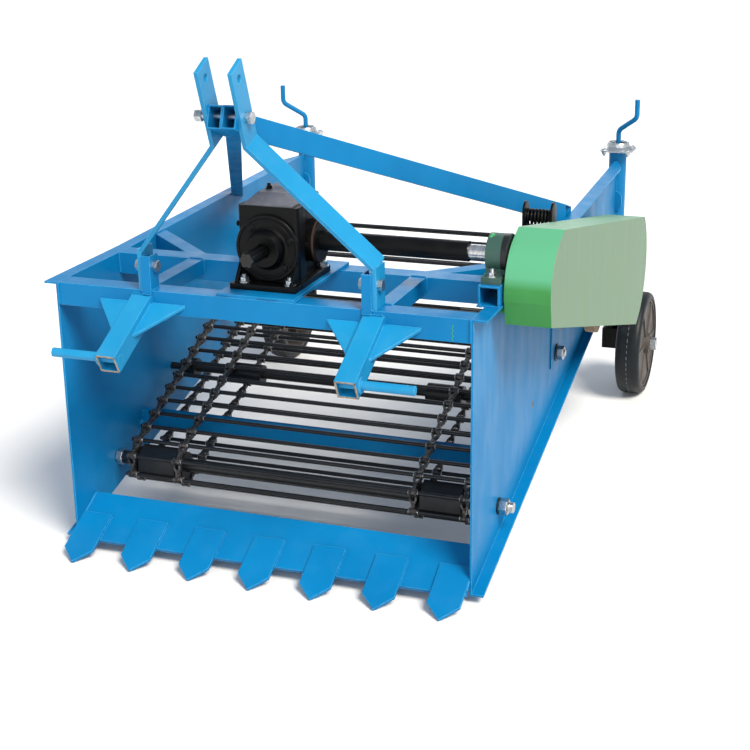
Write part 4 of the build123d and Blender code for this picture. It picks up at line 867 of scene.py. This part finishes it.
# %% Bearing and its marks
insert_profile = [(0, 40), (0, 48.7), (13, 48.7), (15, 46), (15, 22), (12, 20), (0, 20)]
insert = bmesh.new()
ring(insert, at(548, drive_line, shaft_high), X_AXIS, insert_profile, 64)
piece("bearing_insert", insert, oiled_steel)
green_dab = enamel("bright_green_check_paint", colour="#2FA05A", deep="#258A4B", edge="#58C080",
                   dust="#5FA87C", dust_amount=0.1, roughness=0.35, coat=0.2, gloss_level=0.5)
housing_radius = 48.2
marks = bmesh.new()
for i in range(4):
    angle = radians(66 + 5 * i)
    away = Vector((0, -cos(angle), sin(angle)))
    spot = at(518 + 2.2 * (i % 3), drive_line, shaft_high) + away * housing_radius * MM
    turned(marks, spot, away, [(-0.6, 4.2), (0.5, 3.6), (0.9, 2)], 12)
stroke = [at(481 + 1.6 * sin(i * 1.3), -0.4, 684 - 2.4 * i) for i in range(16)]
bar(marks, stroke, 2.0, 1.2, X_AXIS, 8)
piece("green_paint_marks", marks, green_dab)

# %% [markdown]
# The right plate carries a flat strap that keeps the cover's foot in place, and each jack
# tube has a pad with round ends where the maker closes a hole. Both are plain blue
# flats, and their rounded edges catch a thin line of light. A blue bolt and a cut-off
# bracket belong to the left plate.

# %% Straps and pads
def obround(wide, tall, steps=8):
    """Outline of a plate with round ends, standing upright."""
    radius = wide / 2
    arc = []
    for i in range(steps + 1):
        angle = pi * i / steps
        arc.append((radius * cos(angle), tall / 2 - radius + radius * sin(angle)))
    return arc + [(-a, -b) for a, b in arc]


flats = bmesh.new()
strap = [(-6, 0), (6, 0), (6, 126), (-6, 126)]
slab(flats, strap, at(plate_face, 746, 344), Y_AXIS, Z_AXIS, 4, 0.8)
for side in (-1, 1):
    slab(flats, obround(46, 66), at(side * 528, 1575.5, 632), X_AXIS, Z_AXIS, 8, 1.5)
bolt(flats, at(-525, 366.6, 196.5), X_AXIS, 22, 11, 6, 8, 1)
bracket = [(-34, -24), (34, -24), (34, 12), (22, 24), (-34, 24)]
slab(flats, bracket, at(-525, *bracket_bolt), Y_AXIS, Z_AXIS, 2.2, 0.5)
piece("blue_flats", flats, blue_enamel)

# %% [markdown]
# On top of each jack tube sits a pressed steel flange bearing, galvanised all over: a
# thin square plate with round corners, a dome with a rolled lip, and a dark ball bearing
# inside. Its four bolts go down through the plate, so the nuts hang under it. Each
# wheel's axle ends in a zinc plated cap.

# %% Jack flanges
def rounded_square(half, radius, steps=6):
    """Outline of a square with round corners."""
    middle = half - radius
    spots = []
    for quarter, (across_sign, along_sign) in enumerate(((1, 1), (-1, 1), (-1, -1), (1, -1))):
        for i in range(steps + 1):
            angle = pi / 2 * (quarter + i / steps)
            spot_across = across_sign * middle + radius * cos(angle)
            spots.append((spot_across, along_sign * middle + radius * sin(angle)))
    return spots


jack_side = 527.5
flange_low, flange_top = 788.0, 792.0
bolt_spread = 37
dome = [(3.6, 44), (3.6, 49), (5.5, 47.5), (9, 41), (14, 35.5), (22, 33.5)]
dome += [(25, 32), (26, 29.5), (25, 27), (20, 26)]
bearing_profile = [(0, 7.4), (0, 31), (14, 28), (14, 12), (17, 11), (17, 7.4)]
bolt_head = [(0, 8.5), (3, 8), (5, 5.5), (5.8, 2.5)]
for side, name in ((-1, "left"), (1, "right")):
    jack = side * jack_side
    flange = bmesh.new()
    outline = rounded_square(52, 24)
    slab(flange, outline, at(jack, wheel_back, flange_low), X_AXIS, Y_AXIS, flange_top - flange_low, 1.0)
    ring(flange, at(jack, wheel_back, flange_low), Z_AXIS, dome, 64)
    for x, back in ((-1, -1), (1, -1), (1, 1), (-1, 1)):
        spot = at(jack + x * bolt_spread, wheel_back + back * bolt_spread, flange_top)
        turned(flange, spot, Z_AXIS, bolt_head, 20)
        bolt(flange, spot - Z_AXIS * 4 * MM, -Z_AXIS, 13, 7, 5, x * bolt_spread, 0.6)
    piece("pressed_flange_" + name, flange, zinc, stands_for=("jack_flange_" + name,))
    bearing = bmesh.new()
    ring(bearing, at(jack, wheel_back, flange_top), Z_AXIS, bearing_profile, 48)
    piece("ball_bearing_" + name, bearing, oiled_steel)
    cap = bmesh.new()
    cap_place = at(side * 657.5, wheel_back, wheel_high)
    turned(cap, cap_place, X_AXIS * side, [(0, 20.4), (16, 20.4), (18, 17.5)], 36)
    piece("axle_cap_" + name, cap, zinc, "leg_" + name)

# %% [markdown]
# Solid tyres are moulded in two halves, and the thin flash between them is trimmed but
# never quite goes. Dust whitens it, so it shows as a broken pale line round the tread.
# Dusty rubber is as cloudy as a casting, so the same function makes its finish.

# %% Mould flash on the tyres
flash_rubber = metal("dusty_rubber_flash", "#8E9196", "#55585C", 0.7, 0.1, grain_mm=9, depth_mm=0.05,
                     metallic=0.0)
flash_count = 54
flash_radius = tyre_radius + 0.6
for side, name in ((-1, "left"), (1, "right")):
    flash = bmesh.new()
    for i in range(flash_count):
        length = 7 + 5 * sin(i * 2.3) ** 2
        start = 2 * pi / flash_count * i
        arc = []
        for k in range(4):
            angle = start + k / 3 * length / tyre_radius
            back, up = flash_radius * cos(angle), flash_radius * sin(angle)
            arc.append(at(side * 610, wheel_back + back, wheel_high + up))
        bar(flash, arc, 1.5, 0.9, X_AXIS, 6)
    piece("mould_flash_" + name, flash, flash_rubber, "roller_" + name)

# %% [markdown]
# Wherever two parts are welded, a bead of metal runs along the joint, painted over with
# the same blue. First come the seams of the plates, beams and mast lugs, which are the
# same on both sides.

# %% Welds on both sides
def upright_seam(sideways, back, low, high, size):
    return (sideways, back, low), (sideways, back, high), size


seams = []
for side in (-1, 1):
    for back, top, size in ((-1, 699, 3.2), (57, 698, 3.0), (304, 698, 3.0), (362, 698, 3.0)):
        seams.append(upright_seam(side * 523.5, back, 646, top, size))
    for sideways in (269, 321):
        seams.append(upright_seam(side * sideways, -1, 640, 688, 3.0))
    seams.append(((side * 272, -1, 691), (side * 318, -1, 691), 3.2))
    for sideways in (279, 321):
        seams += [upright_seam(side * sideways, back, 662, 699, 2.6) for back in (57, 304)]
    for back in (56.5, 304.5):
        seams.append(((side * 281, back, 701), (side * 319, back, 701), 2.2))
    for sideways, back in ((266, -1), (292, -5)):
        seams.append(((side * sideways, back, 700), (side * sideways, 36, 701), 2.4))
    seams.append(((side * 268, -5, 691), (side * 290, -5, 691), 2.2))
    for sideways in (531, 524):
        seams.append(upright_seam(side * sideways, 1574, 430, 700, 3.0))
print(len(seams), "seams on the plates and beams")

# %% [markdown]
# The share's teeth are welded to its blade along both edges and for a short way behind,
# and the blade itself to the side plates. These seams lie on the blade's slope, so their
# places are given along it. The gearbox plate and the bearing's tube have a few more.

# %% Welds on the share and the gearbox plate
blade_slope = radians(26.6)
tooth_pitch, tooth_half = 161, 41


def on_blade(sideways, along, lift=1.2):
    """Place on the share's upper face, along its slope from the teeth's tips."""
    back = -107.4 + along * cos(blade_slope) - lift * sin(blade_slope)
    return sideways, back, along * sin(blade_slope) + lift * cos(blade_slope)


for number in range(7):
    middle = tooth_pitch * (number - 3)
    for edge in (-tooth_half, tooth_half):
        reach = 108 + 14 * sin(number * 2.4 + edge)
        seams.append((on_blade(middle + edge, reach), on_blade(middle + edge, 160), 2.3))
    seams.append((on_blade(middle - 40, 161.5), on_blade(middle - 22 + 3 * number, 161.5), 2.2))
for edge in (-522, 522):
    seams.append((on_blade(edge, 92), on_blade(edge, 232), 4.6))
for left, right in ((-96, -60), (10, 60)):
    seams.append(((left, -1, 707), (right, -1, 707), 2.6))
for edge in (-99, 99):
    seams.append(((edge, 2, 702), (edge, 54, 702), 2.4))
seams += [((509, 98, 702), (509, 130, 702), 2.4), ((512, 99, 702), (522, 99, 702), 2.4)]
print(len(seams), "seams in all")

# %% [markdown]
# A bead is turned like the rods, but its radius ripples, because a weld is thicker where
# the hand paused. Two sines of different length make the ripple, and the seam's number
# shifts one of them, so no two beads look alike and each run gives the same result.

# %% Weld beads
def bead(form, start, end, size, number):
    """A weld: a thin bar whose thickness ripples as the welder's hand moves along."""
    length = (end - start).length / MM
    count = max(4, int(length / 2.2))
    profile = []
    for i in range(count + 1):
        ripple = 1.0 + 0.16 * sin(i * 2.1) + 0.12 * sin(i * 0.37 + number)
        profile.append((length * i / count, size * (0.55 if i in (0, count) else ripple)))
    turned(form, start, end - start, profile, 8)


welds = bmesh.new()
for number, (start, end, size) in enumerate(seams):
    bead(welds, at(*start), at(*end), size, number)
piece("weld_beads", welds, blue_enamel)

# %% [markdown]
# The lower hitch arms are square tube sawn off square. Paint never sticks well to a sawn
# edge, so their ends show bare, tanned steel: four thin strips set on the wall's end.

# %% Bare ends of the hitch arms
bare_steel = metal("tanned_sawn_steel", "#B7A48E", "#7D6A58", 0.5, 0.2, grain_mm=5, depth_mm=0.08,
                   metallic=0.4)
arm_slope = radians(26.7)
arm_outer, arm_inner = 25.1, 20.8
arm_ahead = Vector((0, -cos(arm_slope), -sin(arm_slope)))
arm_up = Vector((0, -sin(arm_slope), cos(arm_slope)))
arm_end_back = -181.0
arm_end_high = 662.0 + arm_end_back * sin(arm_slope) / cos(arm_slope)
saw = bmesh.new()
for side in (-1, 1):
    for wall, (u, v) in enumerate(((X_AXIS, arm_up), (arm_up, X_AXIS)) * 2):
        low, high = (arm_inner, arm_outer) if wall < 2 else (-arm_outer, -arm_inner)
        strip = [(-arm_outer, low), (arm_outer, low), (arm_outer, high), (-arm_outer, high)]
        thick = 0.6 if u.cross(v).dot(arm_ahead) > 0 else -0.6
        slab(saw, strip, at(side * 295, arm_end_back, arm_end_high), u, v, thick)
piece("bare_arm_ends", saw, bare_steel)
